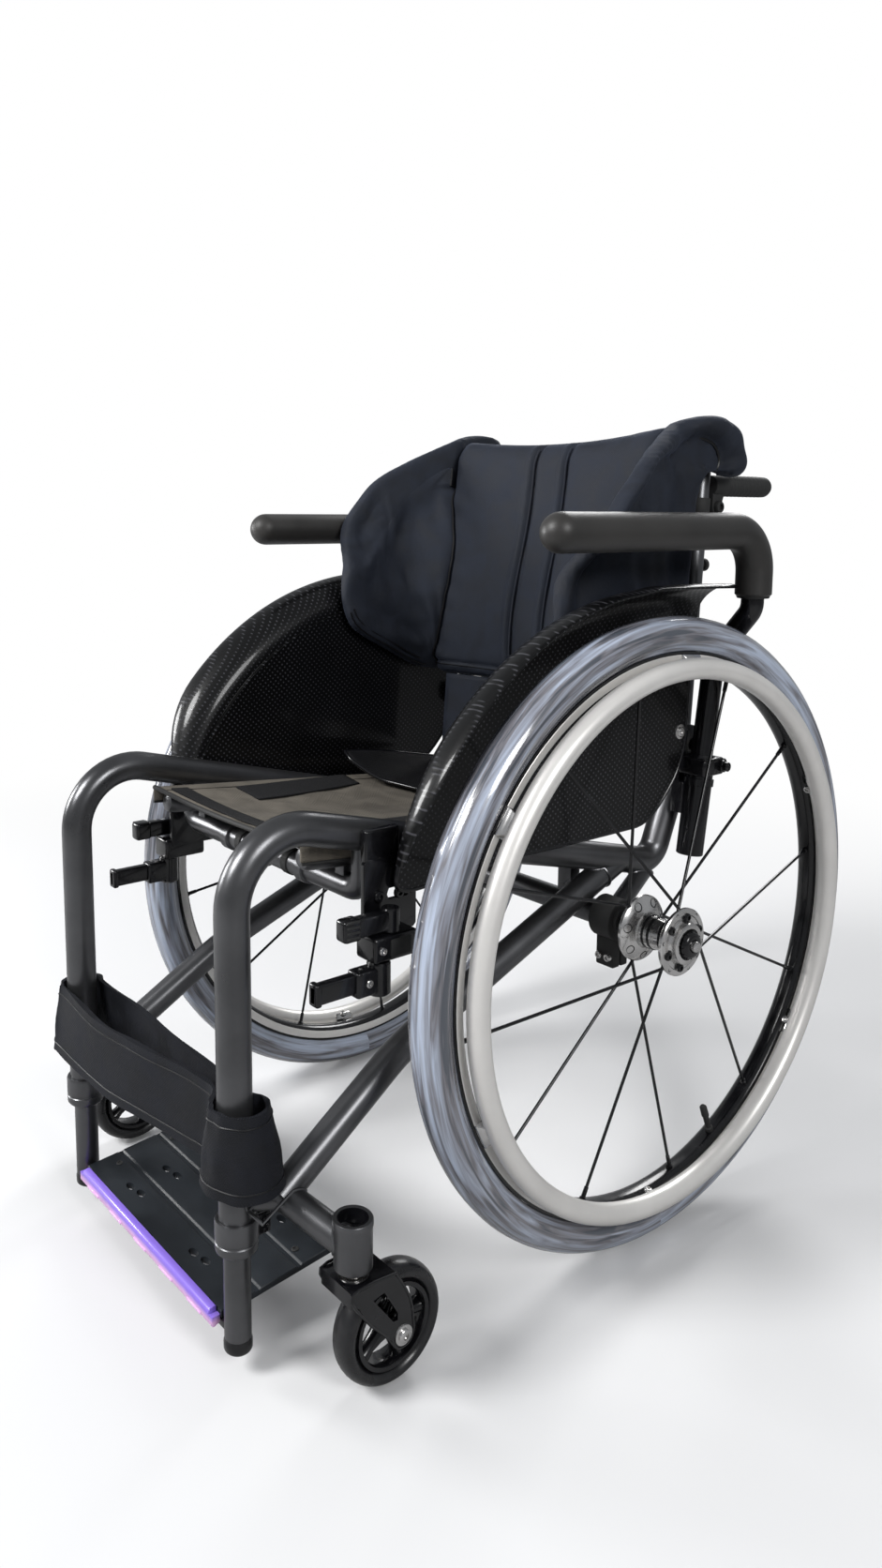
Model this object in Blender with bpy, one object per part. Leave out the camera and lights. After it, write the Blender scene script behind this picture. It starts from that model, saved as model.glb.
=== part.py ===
"""Rigid wheelchair, in metres: +Z up, the chair faces -Y, +X is the user's left. Every shape is drawn with
Y = 0 at the rear axle, then one empty carries them all so that Z = 0 at the origin is under the
middle of the whole."""

import math

import bmesh
import bpy
from mathutils import Matrix, Quaternion, Vector

# Driving dimensions: rear wheels
WHEEL_R = 0.300
AXLE_Z = WHEEL_R
WHEEL_X = 0.2288
TYRE_HALF_WIDTH = 0.018
RIM_OUTER_R = 0.268
RIM_INNER_R = 0.2525
RIM_HALF_WIDTH = 0.0115
HANDRIM_R = 0.2538
HANDRIM_X = 0.2538
HANDRIM_TUBE_R = 0.0098
WHEEL_STEPS = 40
SPOKES = 12
SPOKE_R = 0.0013
FIRST_NIPPLE_DEG = 8.0
CLIPS = 6
FIRST_CLIP_DEG = 26.0
AXLE_PIN_R = 0.00635
AXLE_TUBE_R = 0.012
AXLE_TUBE_HALF = 0.190

# Driving dimensions: frame
FRAME_X = 0.146
TUBE_R = 0.0143
LEG_Y = -0.414
LEG_BOTTOM_Z = 0.118
LEG_BORE_TOP_Z = 0.262
SEAT_FRONT_Y = -0.330
SEAT_FRONT_Z = 0.438
SEAT_SLOPE = 0.25
REAR_NODE_Y = 0.094
RISER_TOP = (0.134, 0.428)
FRONT_BEND_R = 0.058
REAR_BEND_R = 0.024
DIAGONAL_R = 0.0133
CASTER_ARM_R = 0.0125
RAIL_X = 0.1185
RAIL_R = 0.0105
RAIL_FRONT_Z = 0.407
RAIL_SLOPE = 0.09
RAIL_REAR_Y = 0.040
CROSS_TUBE_Y = -0.285
CROSS_TUBE_Z = 0.377
CROSS_TUBE_R = 0.011

# Driving dimensions: casters
STEM_X = 0.2255
STEM_Y = -0.357
BARREL_R = 0.0155
BARREL_BORE_R = 0.0112
BARREL_BOTTOM_Z = 0.1075
BARREL_TOP_Z = 0.153
CASTER_R = 0.050
CASTER_TRAIL = 0.034
CASTER_HALF_WIDTH = 0.012

# Driving dimensions: footrest and strap
LOWER_TUBE_R = 0.0112
LOWER_TUBE_BOTTOM_Z = 0.018
LOWER_TUBE_TOP_Z = 0.205
PLATE_HALF_X = 0.131
PLATE_FRONT_Y = -0.421
PLATE_REAR_Y = -0.307
PLATE_FRONT_Z = 0.045
PLATE_REAR_Z = 0.056
PLATE_THICK = 0.006
STRAP_BOTTOM_Z = 0.1655
STRAP_TOP_Z = 0.231

# Driving dimensions: armrests and rear corner
RECEIVER_X = 0.182
RECEIVER_BASE = (0.1115, 0.345)
RECEIVER_LEAN_DEG = 8.0
RECEIVER_R = 0.0135
RECEIVER_LENGTH = 0.104
ARM_TUBE_R = 0.0109
ARM_X = 0.225
ARM_Z = 0.676
ARM_DROP_Y = 0.1375
FOAM_R = 0.0175
FOAM_FRONT_Y = -0.141
FOAM_BOTTOM_Z = 0.612

# Driving dimensions: backrest
POST_R = 0.0098
POST_BOTTOM = (0.1365, 0.442)
POST_TOP = (0.158, 0.775)
PAD_HALF_X = 0.150
PAD_BOTTOM_Z = 0.503
PAD_TOP_Z = 0.773
PAD_FRONT_BOTTOM_Y = 0.049
PAD_FRONT_TOP_Y = 0.085
PAD_SEAM_X = 0.0235
PAD_BACK_Y = 0.1265
HANDLE_R = 0.0108
HANDLE_PIVOT = (0.1775, 0.700)
HANDLE_Z = 0.722
HANDLE_END_Y = 0.270

# Driving dimensions: guards and brakes
GUARD_X = 0.1725
GUARD_THICK = 0.003
GUARD_CREST_R = 0.324
GUARD_FLARE = 0.034
GUARD_REAR_Y = 0.112
LEVER_PIVOT = (0.181, -0.297)
SHOE_PIVOT = (0.181, -0.285)

GAP = 0.0003
ORIGIN_SHIFT_Y = 0.0716
SIDES = (("left", 1.0), ("right", -1.0))

FINISHES = {
    "frame": ((0.045, 0.045, 0.048), 0.42, 0.75),
    "gloss_black": ((0.008, 0.008, 0.009), 0.18, 0.0),
    "matte_black": ((0.018, 0.018, 0.019), 0.50, 0.0),
    "foam": ((0.040, 0.037, 0.035), 0.70, 0.0),
    "cloth": ((0.018, 0.020, 0.028), 0.85, 0.0),
    "sling": ((0.110, 0.100, 0.088), 0.80, 0.0),
    "carbon": ((0.010, 0.010, 0.011), 0.15, 0.0),
    "silver": ((0.780, 0.770, 0.750), 0.28, 1.0),
    "alloy": ((0.600, 0.600, 0.620), 0.25, 1.0),
    "tyre": ((0.230, 0.250, 0.300), 0.30, 0.0),
    "caster_tyre": ((0.010, 0.010, 0.011), 0.20, 0.0),
    "plate": ((0.050, 0.055, 0.060), 0.45, 0.0),
    "lilac": ((0.350, 0.220, 0.700), 0.30, 0.0),
}


def clear_scene():
    for obj in list(bpy.data.objects):
        bpy.data.objects.remove(obj, do_unlink=True)


def finish(key):
    """The Principled material of one finish, made once."""
    material = bpy.data.materials.get(key)
    if material is None:
        colour, roughness, metallic = FINISHES[key]
        material = bpy.data.materials.new(key)
        material.use_nodes = True
        shader = material.node_tree.nodes["Principled BSDF"]
        shader.inputs["Base Color"].default_value = (*colour, 1.0)
        shader.inputs["Roughness"].default_value = roughness
        shader.inputs["Metallic"].default_value = metallic
    return material


def solid(name, bm, key, origin=(0.0, 0.0, 0.0), smooth_deg=38.0):
    """An object from a closed bmesh given in world space, with its origin moved to the point given."""
    bmesh.ops.recalc_face_normals(bm, faces=bm.faces)
    bmesh.ops.translate(bm, verts=bm.verts, vec=-Vector(origin))
    mesh = bpy.data.meshes.new(name)
    bm.to_mesh(mesh)
    bm.free()
    mesh.shade_smooth()
    mesh.set_sharp_from_angle(angle=math.radians(smooth_deg))
    obj = bpy.data.objects.new(name, mesh)
    obj.location = origin
    obj.data.materials.append(finish(key))
    bpy.context.scene.collection.objects.link(obj)
    return obj


def helper(obj):
    """Marks an object as a cutter or a joined piece, which is no node of its own."""
    obj.hide_render = True
    obj.display_type = "WIRE"
    return obj


def boolean(target, other, operation):
    modifier = target.modifiers.new(f"{operation.lower()}_{other.name}", "BOOLEAN")
    modifier.operation = operation
    modifier.solver = "EXACT"
    modifier.object = helper(other)
    return target


def join(target, *others):
    for other in others:
        boolean(target, other, "UNION")
    return target


def cut(target, *others):
    for other in others:
        boolean(target, other, "DIFFERENCE")
    return target


def skin(bm, rings, closed_path=False):
    """Faces between rings of equal length, with flat caps unless the path is closed."""
    verts = [[bm.verts.new(point) for point in ring] for ring in rings]
    count = len(verts[0])
    pairs = list(zip(verts, verts[1:]))
    if closed_path:
        pairs.append((verts[-1], verts[0]))
    for first, second in pairs:
        for i in range(count):
            j = (i + 1) % count
            bm.faces.new((first[i], first[j], second[j], second[i]))
    if not closed_path:
        bm.faces.new(verts[0][::-1])
        bm.faces.new(verts[-1])


def rounded(points, radii, steps):
    """A path through the points, with each inner corner turned into an arc of its own radius."""
    points = [Vector(p) for p in points]
    path = [points[0]]
    for before, corner, after, radius in zip(points, points[1:], points[2:], radii):
        into = (corner - before).normalized()
        out = (after - corner).normalized()
        turn = into.angle(out)
        reach = radius * math.tan(turn / 2)
        centre = corner + (out - into).normalized() * (radius / math.cos(turn / 2))
        spoke = corner - into * reach - centre
        axis = into.cross(out).normalized()
        for k in range(steps + 1):
            path.append(centre + Quaternion(axis, turn * k / steps) @ spoke)
    path.append(points[-1])
    return path


def tube_rings(path, radius, sides):
    """Rings square to a path, carried along it without twist; radius may be one value or one per point."""
    path = [Vector(p) for p in path]
    radii = radius if isinstance(radius, (list, tuple)) else [radius] * len(path)
    tangents = []
    for i in range(len(path)):
        ahead = path[min(i + 1, len(path) - 1)] - path[i]
        behind = path[i] - path[max(i - 1, 0)]
        tangents.append((ahead.normalized() + behind.normalized()).normalized())
    normal = tangents[0].orthogonal().normalized()
    rings = []
    for i, (point, tangent, r) in enumerate(zip(path, tangents, radii)):
        if i:
            normal = tangents[i - 1].rotation_difference(tangent) @ normal
        across = tangent.cross(normal)
        stretch = 1.0
        if 0 < i < len(path) - 1:
            stretch = 1.0 / max(0.8, math.cos(tangent.angle(path[i + 1] - point)))
        rings.append(
            [
                point + (normal * math.cos(a) + across * math.sin(a)) * r * stretch
                for a in (2 * math.pi * k / sides for k in range(sides))
            ]
        )
    return rings


def tube(name, path, radius, key, sides=14, origin=(0.0, 0.0, 0.0)):
    bm = bmesh.new()
    skin(bm, tube_rings(path, radius, sides))
    return solid(name, bm, key, origin)


def turned(name, centre, axis, profile, key, steps=20, ring=False, first_deg=0.0, origin=None):
    """A profile of (along, radius) turned about an axis; a ring profile never meets the axis."""
    axis = Vector(axis).normalized()
    frame = axis.to_track_quat("Z", "Y").to_matrix().to_4x4()
    place = Matrix.Translation(Vector(centre)) @ frame
    bm = bmesh.new()
    rows = []
    for along, r in profile:
        if r < 1e-9:
            rows.append([bm.verts.new(place @ Vector((0, 0, along)))])
            continue
        angles = (math.radians(first_deg) + 2 * math.pi * k / steps for k in range(steps))
        rows.append(
            [bm.verts.new(place @ Vector((r * math.cos(a), r * math.sin(a), along))) for a in angles])
    pairs = list(zip(rows, rows[1:]))
    if ring:
        pairs.append((rows[-1], rows[0]))
    for first, second in pairs:
        for i in range(steps):
            j = (i + 1) % steps
            quad = [first[i % len(first)], first[j % len(first)], second[j % len(second)],
                second[i % len(second)]]
            corners = list(dict.fromkeys(quad))
            if len(corners) > 2:
                bm.faces.new(corners)
    return solid(name, bm, key, origin or (0.0, 0.0, 0.0))


def rod(name, start, end, radius, key, sides=12, origin=(0.0, 0.0, 0.0)):
    return tube(name, [start, end], radius, key, sides, origin)


def block(name, low, high, key, bevel=0.0, origin=(0.0, 0.0, 0.0)):
    """A box between two corners, with its edges bevelled."""
    low, high = (Vector(map(f, low, high)) for f in (min, max))
    bm = bmesh.new()
    bmesh.ops.create_cube(bm, size=1.0)
    for vert in bm.verts:
        vert.co = Vector(map(lambda c, a, b: a if c < 0 else b, vert.co, low, high))
    if bevel:
        bmesh.ops.bevel(
            bm, geom=bm.edges[:], offset=bevel, segments=1, profile=0.5, affect="EDGES"
        )
    return solid(name, bm, key, origin)


def extruded_x(name, outline, x_from, x_to, key, origin=(0.0, 0.0, 0.0)):
    """An outline of (y, z) points carried along X."""
    bm = bmesh.new()
    skin(bm, [[Vector((x, y, z)) for y, z in outline] for x in (x_from, x_to)])
    return solid(name, bm, key, origin)


def seat_z(y):
    """Height of the seat tube's centre line."""
    return SEAT_FRONT_Z - SEAT_SLOPE * (y - SEAT_FRONT_Y)


def rail_z(y):
    """Height of the rails under the seat cloth, which lie flatter than the seat tubes."""
    return RAIL_FRONT_Z - RAIL_SLOPE * (y - SEAT_FRONT_Y)


def receiver_axis():
    lean = math.radians(RECEIVER_LEAN_DEG)
    return Vector((0.0, math.sin(lean), math.cos(lean)))


def receiver_point(side, along):
    return Vector((side * RECEIVER_X, *RECEIVER_BASE)) + receiver_axis() * along


def post_point(side, z):
    """A point of the back post's centre line at one height."""
    share = (z - POST_BOTTOM[1]) / (POST_TOP[1] - POST_BOTTOM[1])
    return Vector((side * FRAME_X, POST_BOTTOM[0] + share * (POST_TOP[0] - POST_BOTTOM[0]), z))


def side_path(side):
    x = side * FRAME_X
    corners = [
        (x, LEG_Y, LEG_BOTTOM_Z),
        (x, LEG_Y, seat_z(LEG_Y)),
        (x, REAR_NODE_Y, seat_z(REAR_NODE_Y)),
        (x, *RISER_TOP),
    ]
    return rounded(corners, (FRONT_BEND_R, REAR_BEND_R), 5)


def side_tube_cutter(name, side):
    return tube(name, side_path(side), TUBE_R + GAP, "frame", 14)


def make_side_tube(word, side):
    body = tube(f"side_tube_{word}", side_path(side), TUBE_R, "frame", 14)
    x = side * FRAME_X
    bore = rod(
        f"bore_leg_{word}", (x, LEG_Y, LEG_BOTTOM_Z - 0.01), (x, LEG_Y, LEG_BORE_TOP_Z),
        LOWER_TUBE_R + 0.0004, "frame", 14,
    )
    cut(body, bore)


def caster_arm_path(side):
    corners = [
        (side * FRAME_X, LEG_Y + 0.004, 0.151),
        (side * 0.159, -0.380, 0.148),
        (side * STEM_X, STEM_Y, 0.1275),
    ]
    return rounded(corners, (0.02,), 4)


def make_caster_arm(word, side):
    arm = tube(f"caster_arm_{word}", caster_arm_path(side), CASTER_ARM_R, "frame", 12)
    centre = (side * STEM_X, STEM_Y, 0.0)
    low, high = BARREL_BOTTOM_Z, BARREL_TOP_Z
    barrel = turned(
        f"barrel_{word}", centre, (0, 0, 1),
        [(low, BARREL_BORE_R), (low, BARREL_R), (high, BARREL_R), (high, BARREL_BORE_R)],
        "frame", 16, ring=True,
    )
    clear = turned(
        f"barrel_clear_{word}", centre, (0, 0, 1),
        [(0.09, 0.0), (0.09, 0.0133), (0.17, 0.0133), (0.17, 0.0)],
        "frame", 16, first_deg=7.0,
    )
    cut(arm, side_tube_cutter(f"leg_cut_{word}", side), clear)
    join(arm, barrel)


def make_diagonal(word, side):
    corners = [
        (side * 0.160, -0.380, 0.150),
        (side * 0.1525, -0.250, 0.2308),
        (side * 0.1465, 0.041, 0.3446),
    ]
    path = rounded(corners, (0.25,), 5)
    path.insert(1, path[0] + (path[1] - path[0]).normalized() * 0.009)
    body = tube(f"diagonal_tube_{word}", path, [0.0085] + [DIAGONAL_R] * (len(path) - 1), "frame", 12)
    arm_cut = tube(f"arm_cut_{word}", caster_arm_path(side), CASTER_ARM_R + GAP, "frame", 12)
    cut(body, side_tube_cutter(f"seat_cut_{word}", side), arm_cut)


def make_seat_subframe():
    """Front cross tube with its welded collars, and the two rails that the sling wraps."""
    low = (CROSS_TUBE_Y, CROSS_TUBE_Z)
    high = (CROSS_TUBE_Y, seat_z(CROSS_TUBE_Y) - 0.008)
    corners = [(-FRAME_X, *high), (-FRAME_X, *low), (FRAME_X, *low), (FRAME_X, *high)]
    body = tube("seat_subframe", rounded(corners, (0.018, 0.018), 3), CROSS_TUBE_R, "frame", 12)
    for word, side in SIDES:
        x = side * RAIL_X
        front, rear = -0.331, RAIL_REAR_Y
        nose = [(front, 0.006), (front + 0.003, RAIL_R), (front + 0.012, RAIL_R)]
        path = [(x, y, rail_z(y)) for y, _ in nose] + [(x, rear, rail_z(rear))]
        rail = tube(f"rail_{word}", path, [r for _, r in nose] + [RAIL_R], "frame", 8)
        saddle = block(
            f"rail_saddle_{word}", (x - 0.009, -0.007, AXLE_Z + AXLE_TUBE_R + GAP),
            (x + 0.009, 0.007, rail_z(0) - 0.004), "frame",
        )
        front_saddle = block(
            f"front_saddle_{word}", (x - 0.0065, CROSS_TUBE_Y - 0.006, CROSS_TUBE_Z + 0.004),
            (x + 0.0065, CROSS_TUBE_Y + 0.006, rail_z(CROSS_TUBE_Y) - 0.004), "frame",
        )
        collar = turned(
            f"cross_collar_{word}", (side * 0.064, CROSS_TUBE_Y, CROSS_TUBE_Z), (1, 0, 0),
            [(-0.006, 0.0), (-0.006, 0.013), (0.006, 0.013), (0.006, 0.0)], "frame", 10,
        )
        join(body, rail, saddle, front_saddle, collar)
        cut(body, side_tube_cutter(f"drop_cut_{word}", side))


def make_axle_tube():
    half, bore = AXLE_TUBE_HALF, AXLE_PIN_R + 0.0005
    turned(
        "axle_tube", (0, 0, AXLE_Z), (1, 0, 0),
        [(-half, bore), (-half, AXLE_TUBE_R), (half, AXLE_TUBE_R), (half, bore)],
        "frame", 18, ring=True,
    )


def make_axle_clamp(word, side):
    """Split clamp round the axle tube, with the stay that carries it from the rear of the seat tube."""
    ring = turned(
        f"axle_clamp_{word}", (side * 0.175, 0, AXLE_Z), (1, 0, 0),
        [(-0.0125, 0.0), (-0.0125, 0.0205), (0.0125, 0.0205), (0.0125, 0.0)], "matte_black", 16,
    )
    lug = block(
        f"clamp_lug_{word}", (side * 0.1640, -0.009, 0.252), (side * 0.1860, 0.013, 0.285),
        "matte_black",
    )
    stay = rod(f"stay_{word}", (side * 0.148, 0.086, 0.3245), (side * 0.170, 0.014, 0.306), 0.0095, "frame",
        12)
    bolt = rod(f"clamp_bolt_{word}", (side * 0.170, -0.013, 0.262), (side * 0.170, -0.008, 0.262), 0.004,
        "alloy", 6)
    join(ring, lug, stay, bolt)
    r = AXLE_TUBE_R + 0.0004
    bore = turned(
        f"clamp_bore_{word}", (side * 0.175, 0, AXLE_Z), (1, 0, 0),
        [(-0.03, 0.0), (-0.03, r), (0.03, r), (0.03, 0.0)],
        "frame", 18, first_deg=4.0,
    )
    cut(ring, bore, side_tube_cutter(f"stay_cut_{word}", side))


def make_receiver(word, side):
    """Rear corner: link plate from the riser, receiver tube, clamp block and backrest hinge plate."""
    base, axis = receiver_point(side, 0), receiver_axis()
    top = RECEIVER_LENGTH
    tube_body = turned(
        f"armrest_receiver_{word}", base, axis,
        [(0, 0), (0, RECEIVER_R), (top, RECEIVER_R), (top, 0)], "gloss_black", 16,
    )
    link = block(f"link_{word}", (side * 0.150, 0.103, 0.384), (side * 0.176, 0.136, 0.420), "gloss_black")
    clamp = block(f"receiver_clamp_{word}", (side * 0.1665, 0.106, 0.428), (side * 0.1985, 0.142, 0.446),
        "gloss_black")
    screw = rod(f"clamp_screw_{word}", (side * 0.197, 0.138, 0.437), (side * 0.206, 0.138, 0.437), 0.0048,
        "gloss_black", 8)
    lug = block(f"clamp_tail_{word}", (side * 0.178, 0.138, 0.431), (side * 0.198, 0.149, 0.443),
        "gloss_black")
    hinge = extruded_x(
        f"hinge_plate_{word}",
        [(0.108, 0.398), (0.150, 0.398), (0.158, 0.430), (0.152, 0.466), (0.140, 0.474), (0.092, 0.486),
            (0.088, 0.466), (0.112, 0.440)],
        side * 0.1608, side * 0.1660, "gloss_black",
    )
    pin = rod(f"hinge_pin_{word}", (side * (FRAME_X + POST_R + GAP), *pivot_yz()),
        (side * 0.169, *pivot_yz()), 0.005, "alloy", 8)
    tab = rod(f"guard_tab_{word}", (side * 0.164, 0.097, 0.474), (side * (GUARD_X - GAP), 0.097, 0.474),
        0.007, "gloss_black", 8)
    bolt = rod(f"link_bolt_{word}", (side * 0.174, 0.127, 0.402), (side * 0.1785, 0.127, 0.402), 0.005,
        "alloy", 8)
    join(tube_body, link, clamp, screw, lug, hinge, pin, tab, bolt)
    bore = turned(
        f"receiver_bore_{word}", base, axis,
        [(-0.01, 0), (-0.01, ARM_TUBE_R + 0.0005), (top + 0.01, ARM_TUBE_R + 0.0005), (top + 0.01, 0)],
        "frame", 16,
    )
    cut(tube_body, bore, side_tube_cutter(f"riser_cut_{word}", side))


def pivot_yz():
    """Backrest pivot, near the foot of the posts."""
    share = (0.455 - POST_BOTTOM[1]) / (POST_TOP[1] - POST_BOTTOM[1])
    return (POST_BOTTOM[0] + share * (POST_TOP[0] - POST_BOTTOM[0]), 0.455)


def arm_path(side, from_foam=False):
    corners = [
        receiver_point(side, 0.012),
        receiver_point(side, 0.205),
        Vector((side * 0.2245, ARM_DROP_Y, FOAM_BOTTOM_Z - 0.013)),
        Vector((side * ARM_X, ARM_DROP_Y, ARM_Z)),
        Vector((side * ARM_X, FOAM_FRONT_Y, ARM_Z)),
    ]
    if from_foam:
        return rounded([(side * ARM_X, ARM_DROP_Y, FOAM_BOTTOM_Z)] + corners[3:], (0.040,), 4)
    return rounded(corners, (0.03, 0.02, 0.040), 4)


def make_armrest(word, side):
    tube(f"armrest_tube_{word}", arm_path(side), ARM_TUBE_R, "gloss_black", 10)
    path = arm_path(side, from_foam=True)
    radii = [FOAM_R * 0.93] + [FOAM_R] * (len(path) - 1)
    path.insert(1, path[0] + (path[1] - path[0]).normalized() * 0.002)
    radii.insert(1, FOAM_R)
    for turn in (30, 60, 84):
        a = math.radians(turn)
        path.append(Vector((side * ARM_X, FOAM_FRONT_Y - FOAM_R * math.sin(a), ARM_Z)))
        radii.append(FOAM_R * math.cos(a))
    foam = tube(f"armrest_pad_{word}", path, radii, "foam", 12)
    bore = arm_path(side, from_foam=True)
    bore[-1] += Vector((0, -0.0006, 0))
    bore.insert(0, Vector((side * ARM_X, ARM_DROP_Y, FOAM_BOTTOM_Z - 0.02)))
    cut(foam, tube(f"foam_bore_{word}", bore, ARM_TUBE_R + 0.0009, "foam", 12))


def make_guard(word, side):
    """Thin panel beside the seat, whose upper edge flares out and up over the tyre's shoulder."""
    crest = []
    for turn in (159, 151, 143, 135, 127, 119, 111, 103, 95):
        a = math.radians(turn)
        crest.append(Vector((0, GUARD_CREST_R * math.cos(a), AXLE_Z + GUARD_CREST_R * math.sin(a))))
    crest += [Vector((0, 0.040, 0.6265)), Vector((0, GUARD_REAR_Y + 0.004, 0.6250))]
    centre = Vector((0, 0, AXLE_Z))
    outline = []
    for point in crest:
        inward = (centre - point).normalized() if point.y < 0 else Vector((0, 0, -1))
        edge = point + inward * GUARD_FLARE
        outline.append((edge.y, edge.z))
    outline[-1] = (GUARD_REAR_Y, 0.5910)
    outline += [(0.109, 0.530), (0.106, 0.462), (0.078, 0.412), (0.040, 0.386), (-0.147, 0.386),
        (-0.262, 0.381), (-0.275, 0.389)]
    panel = extruded_x(f"side_guard_{word}", outline, side * GUARD_X, side * (GUARD_X + GUARD_THICK),
        "carbon")
    section = [
        (GUARD_X + 0.0005, -0.040), (GUARD_X + 0.0012, -0.027), (0.1815, -0.0130), (0.1960, -0.0030),
        (0.2120, 0.0),
        (0.2225, -0.0025), (0.2215, -0.0052), (0.2115, -0.0030), (0.1970, -0.0062), (0.1838, -0.0160),
        (0.1768, -0.028), (GUARD_X + GUARD_THICK - 0.0005, -0.040),
    ]
    rings = []
    for i, point in enumerate(crest):
        outward = (point - centre).normalized() if point.y < 0 else Vector((0, 0, 1))
        taper = min(1.0, 0.20 + 0.35 * i)
        ring = []
        for x, up in section:
            rise = -0.036 + (up + 0.036) * taper
            ring.append(
                point + outward * rise + Vector(
                    (side * (GUARD_X + 0.0005 + (x - GUARD_X - 0.0005) * taper), 0, 0)))
        rings.append(ring)
    bm = bmesh.new()
    skin(bm, rings)
    lip = solid(f"guard_lip_{word}", bm, "carbon")
    screws = [
        rod(f"guard_screw_{word}_{i}", (side * (GUARD_X + 0.002), y, z), (side * (GUARD_X + 0.006), y, z),
            0.0055, "alloy", 8)
        for i, (y, z) in enumerate(((0.097, 0.474), (-0.200, 0.410)))
    ]
    join(panel, lip, *screws)


def make_post(word, side):
    foot, top = post_point(side, POST_BOTTOM[1]), post_point(side, POST_TOP[1])
    post = rod(f"back_post_{word}", foot, top, POST_R, "frame", 12)
    collar_at, up = post_point(side, HANDLE_PIVOT[1]), (top - foot).normalized()
    collar = turned(
        f"post_collar_{word}", collar_at, up,
        [(-0.009, 0), (-0.009, 0.0115), (0.009, 0.0115), (0.009, 0)], "matte_black", 12,
    )
    join(post, collar)


def make_stiffening_bar():
    """Bar bowed to the rear between the posts, behind the padded back."""
    z = 0.560
    end = post_point(1, z)
    reach = FRAME_X - POST_R - 0.0008
    path = []
    for k in range(9):
        x = -reach + 2 * reach * k / 8
        path.append(Vector((x, end.y + 0.026 * (1 - (x / reach) ** 2), z)))
    tube("back_bar", path, 0.0075, "frame", 10)


def make_push_handle(word, side):
    """Short tube behind the post that folds down about its foot."""
    x = side * FRAME_X
    y, z = HANDLE_PIVOT
    grip = tube(
        f"push_handle_{word}",
        [(x, 0.1695, HANDLE_Z), (x, HANDLE_END_Y - 0.008, HANDLE_Z), (x, HANDLE_END_Y - 0.002, HANDLE_Z),
            (x, HANDLE_END_Y, HANDLE_Z)],
        [HANDLE_R, HANDLE_R, HANDLE_R * 0.85, HANDLE_R * 0.5], "matte_black", 12, (x, y, z),
    )
    lug = extruded_x(
        f"handle_lug_{word}",
        [(0.1695, 0.728), (0.1690, 0.700), (0.1730, 0.692), (0.1820, 0.694), (0.1900, 0.722)],
        x - 0.006, x + 0.006, "matte_black",
    )
    bolt = rod(f"handle_bolt_{word}", (x - 0.0095, y, z), (x + 0.0095, y, z), 0.0042, "alloy", 10)
    join(grip, lug, bolt)


def pad_front(x, z):
    """Front face of the padded back: leaning, hollow across, drawn in at its edges and along two seams."""
    across = abs(x) / PAD_HALF_X
    rise = min(max((z - PAD_BOTTOM_Z) / (PAD_TOP_Z - PAD_BOTTOM_Z), 0.0), 1.0)
    lean = (3 * rise**2 - 2 * rise**3) ** 1.4
    y = PAD_FRONT_BOTTOM_Y + (PAD_FRONT_TOP_Y - PAD_FRONT_BOTTOM_Y) * lean
    y -= 0.014 * across**2
    for seam in (-PAD_SEAM_X, PAD_SEAM_X):
        y += 0.005 * math.exp(-(((x - seam) / 0.0035) ** 2))
    y += 0.010 * max(0.0, (across - 0.88) / 0.12) ** 2
    return y


def pad_top(x):
    return PAD_TOP_Z + 0.009 * (abs(x) / PAD_HALF_X) ** 2


def make_back_pad():
    """Each upright slice is a closed loop: front face up, over the top, and down the back."""
    half = [0.012, 0.0200, 0.0235, 0.0270, 0.034, 0.055, 0.080, 0.108, 0.132, 0.144, 0.150]
    columns = [-x for x in reversed(half)] + [0.0] + half
    bm = bmesh.new()
    rings = []
    for x in columns:
        top = pad_top(x)
        edge = max(0.0, (abs(x) / PAD_HALF_X - 0.93) / 0.07)
        ring = []
        for share in (0.035, 0.10, 0.22, 0.36, 0.5, 0.64, 0.78, 0.90, 0.965):
            z = PAD_BOTTOM_Z + share * (top - PAD_BOTTOM_Z)
            lift = 0.010 * (max(0.0, 0.12 - share) / 0.12) ** 2 + 0.014 * (
                max(0.0, share - 0.88) / 0.12) ** 2
            ring.append(Vector((x, pad_front(x, z) + lift + 0.006 * edge, z)))
        front = pad_front(x, PAD_TOP_Z)
        ring.append(Vector((x, front + 0.024, top)))
        ring.append(Vector((x, PAD_BACK_Y - 0.010, top - 0.001)))
        for share in (0.96, 0.66, 0.33, 0.04):
            z = PAD_BOTTOM_Z + share * (top - PAD_BOTTOM_Z)
            ring.append(Vector((x, PAD_BACK_Y - 0.004 * edge + 0.0, z)))
        ring.append(Vector((x, PAD_BACK_Y - 0.008, PAD_BOTTOM_Z)))
        ring.append(Vector((x, pad_front(x, PAD_BOTTOM_Z) + 0.018, PAD_BOTTOM_Z)))
        rings.append(ring)
    skin(bm, rings)
    solid("back_pad", bm, "cloth", smooth_deg=50)


def wing_outline():
    """Side view of a wing as (y, z), from its lower seam corner round to the roll that wraps the post."""
    return [
        (0.104, 0.520), (0.045, 0.510), (-0.018, 0.545), (-0.056, 0.570), (-0.074, 0.600), (-0.071, 0.640),
        (-0.052, 0.680), (-0.028, 0.711), (-0.003, 0.742), (0.024, 0.768), (0.060, 0.786), (0.100, 0.796),
        (0.140, 0.797), (0.173, 0.789), (0.192, 0.768), (0.1915, 0.743), (0.178, 0.7280), (0.120, 0.7320),
        (0.112, 0.640),
    ]


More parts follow.
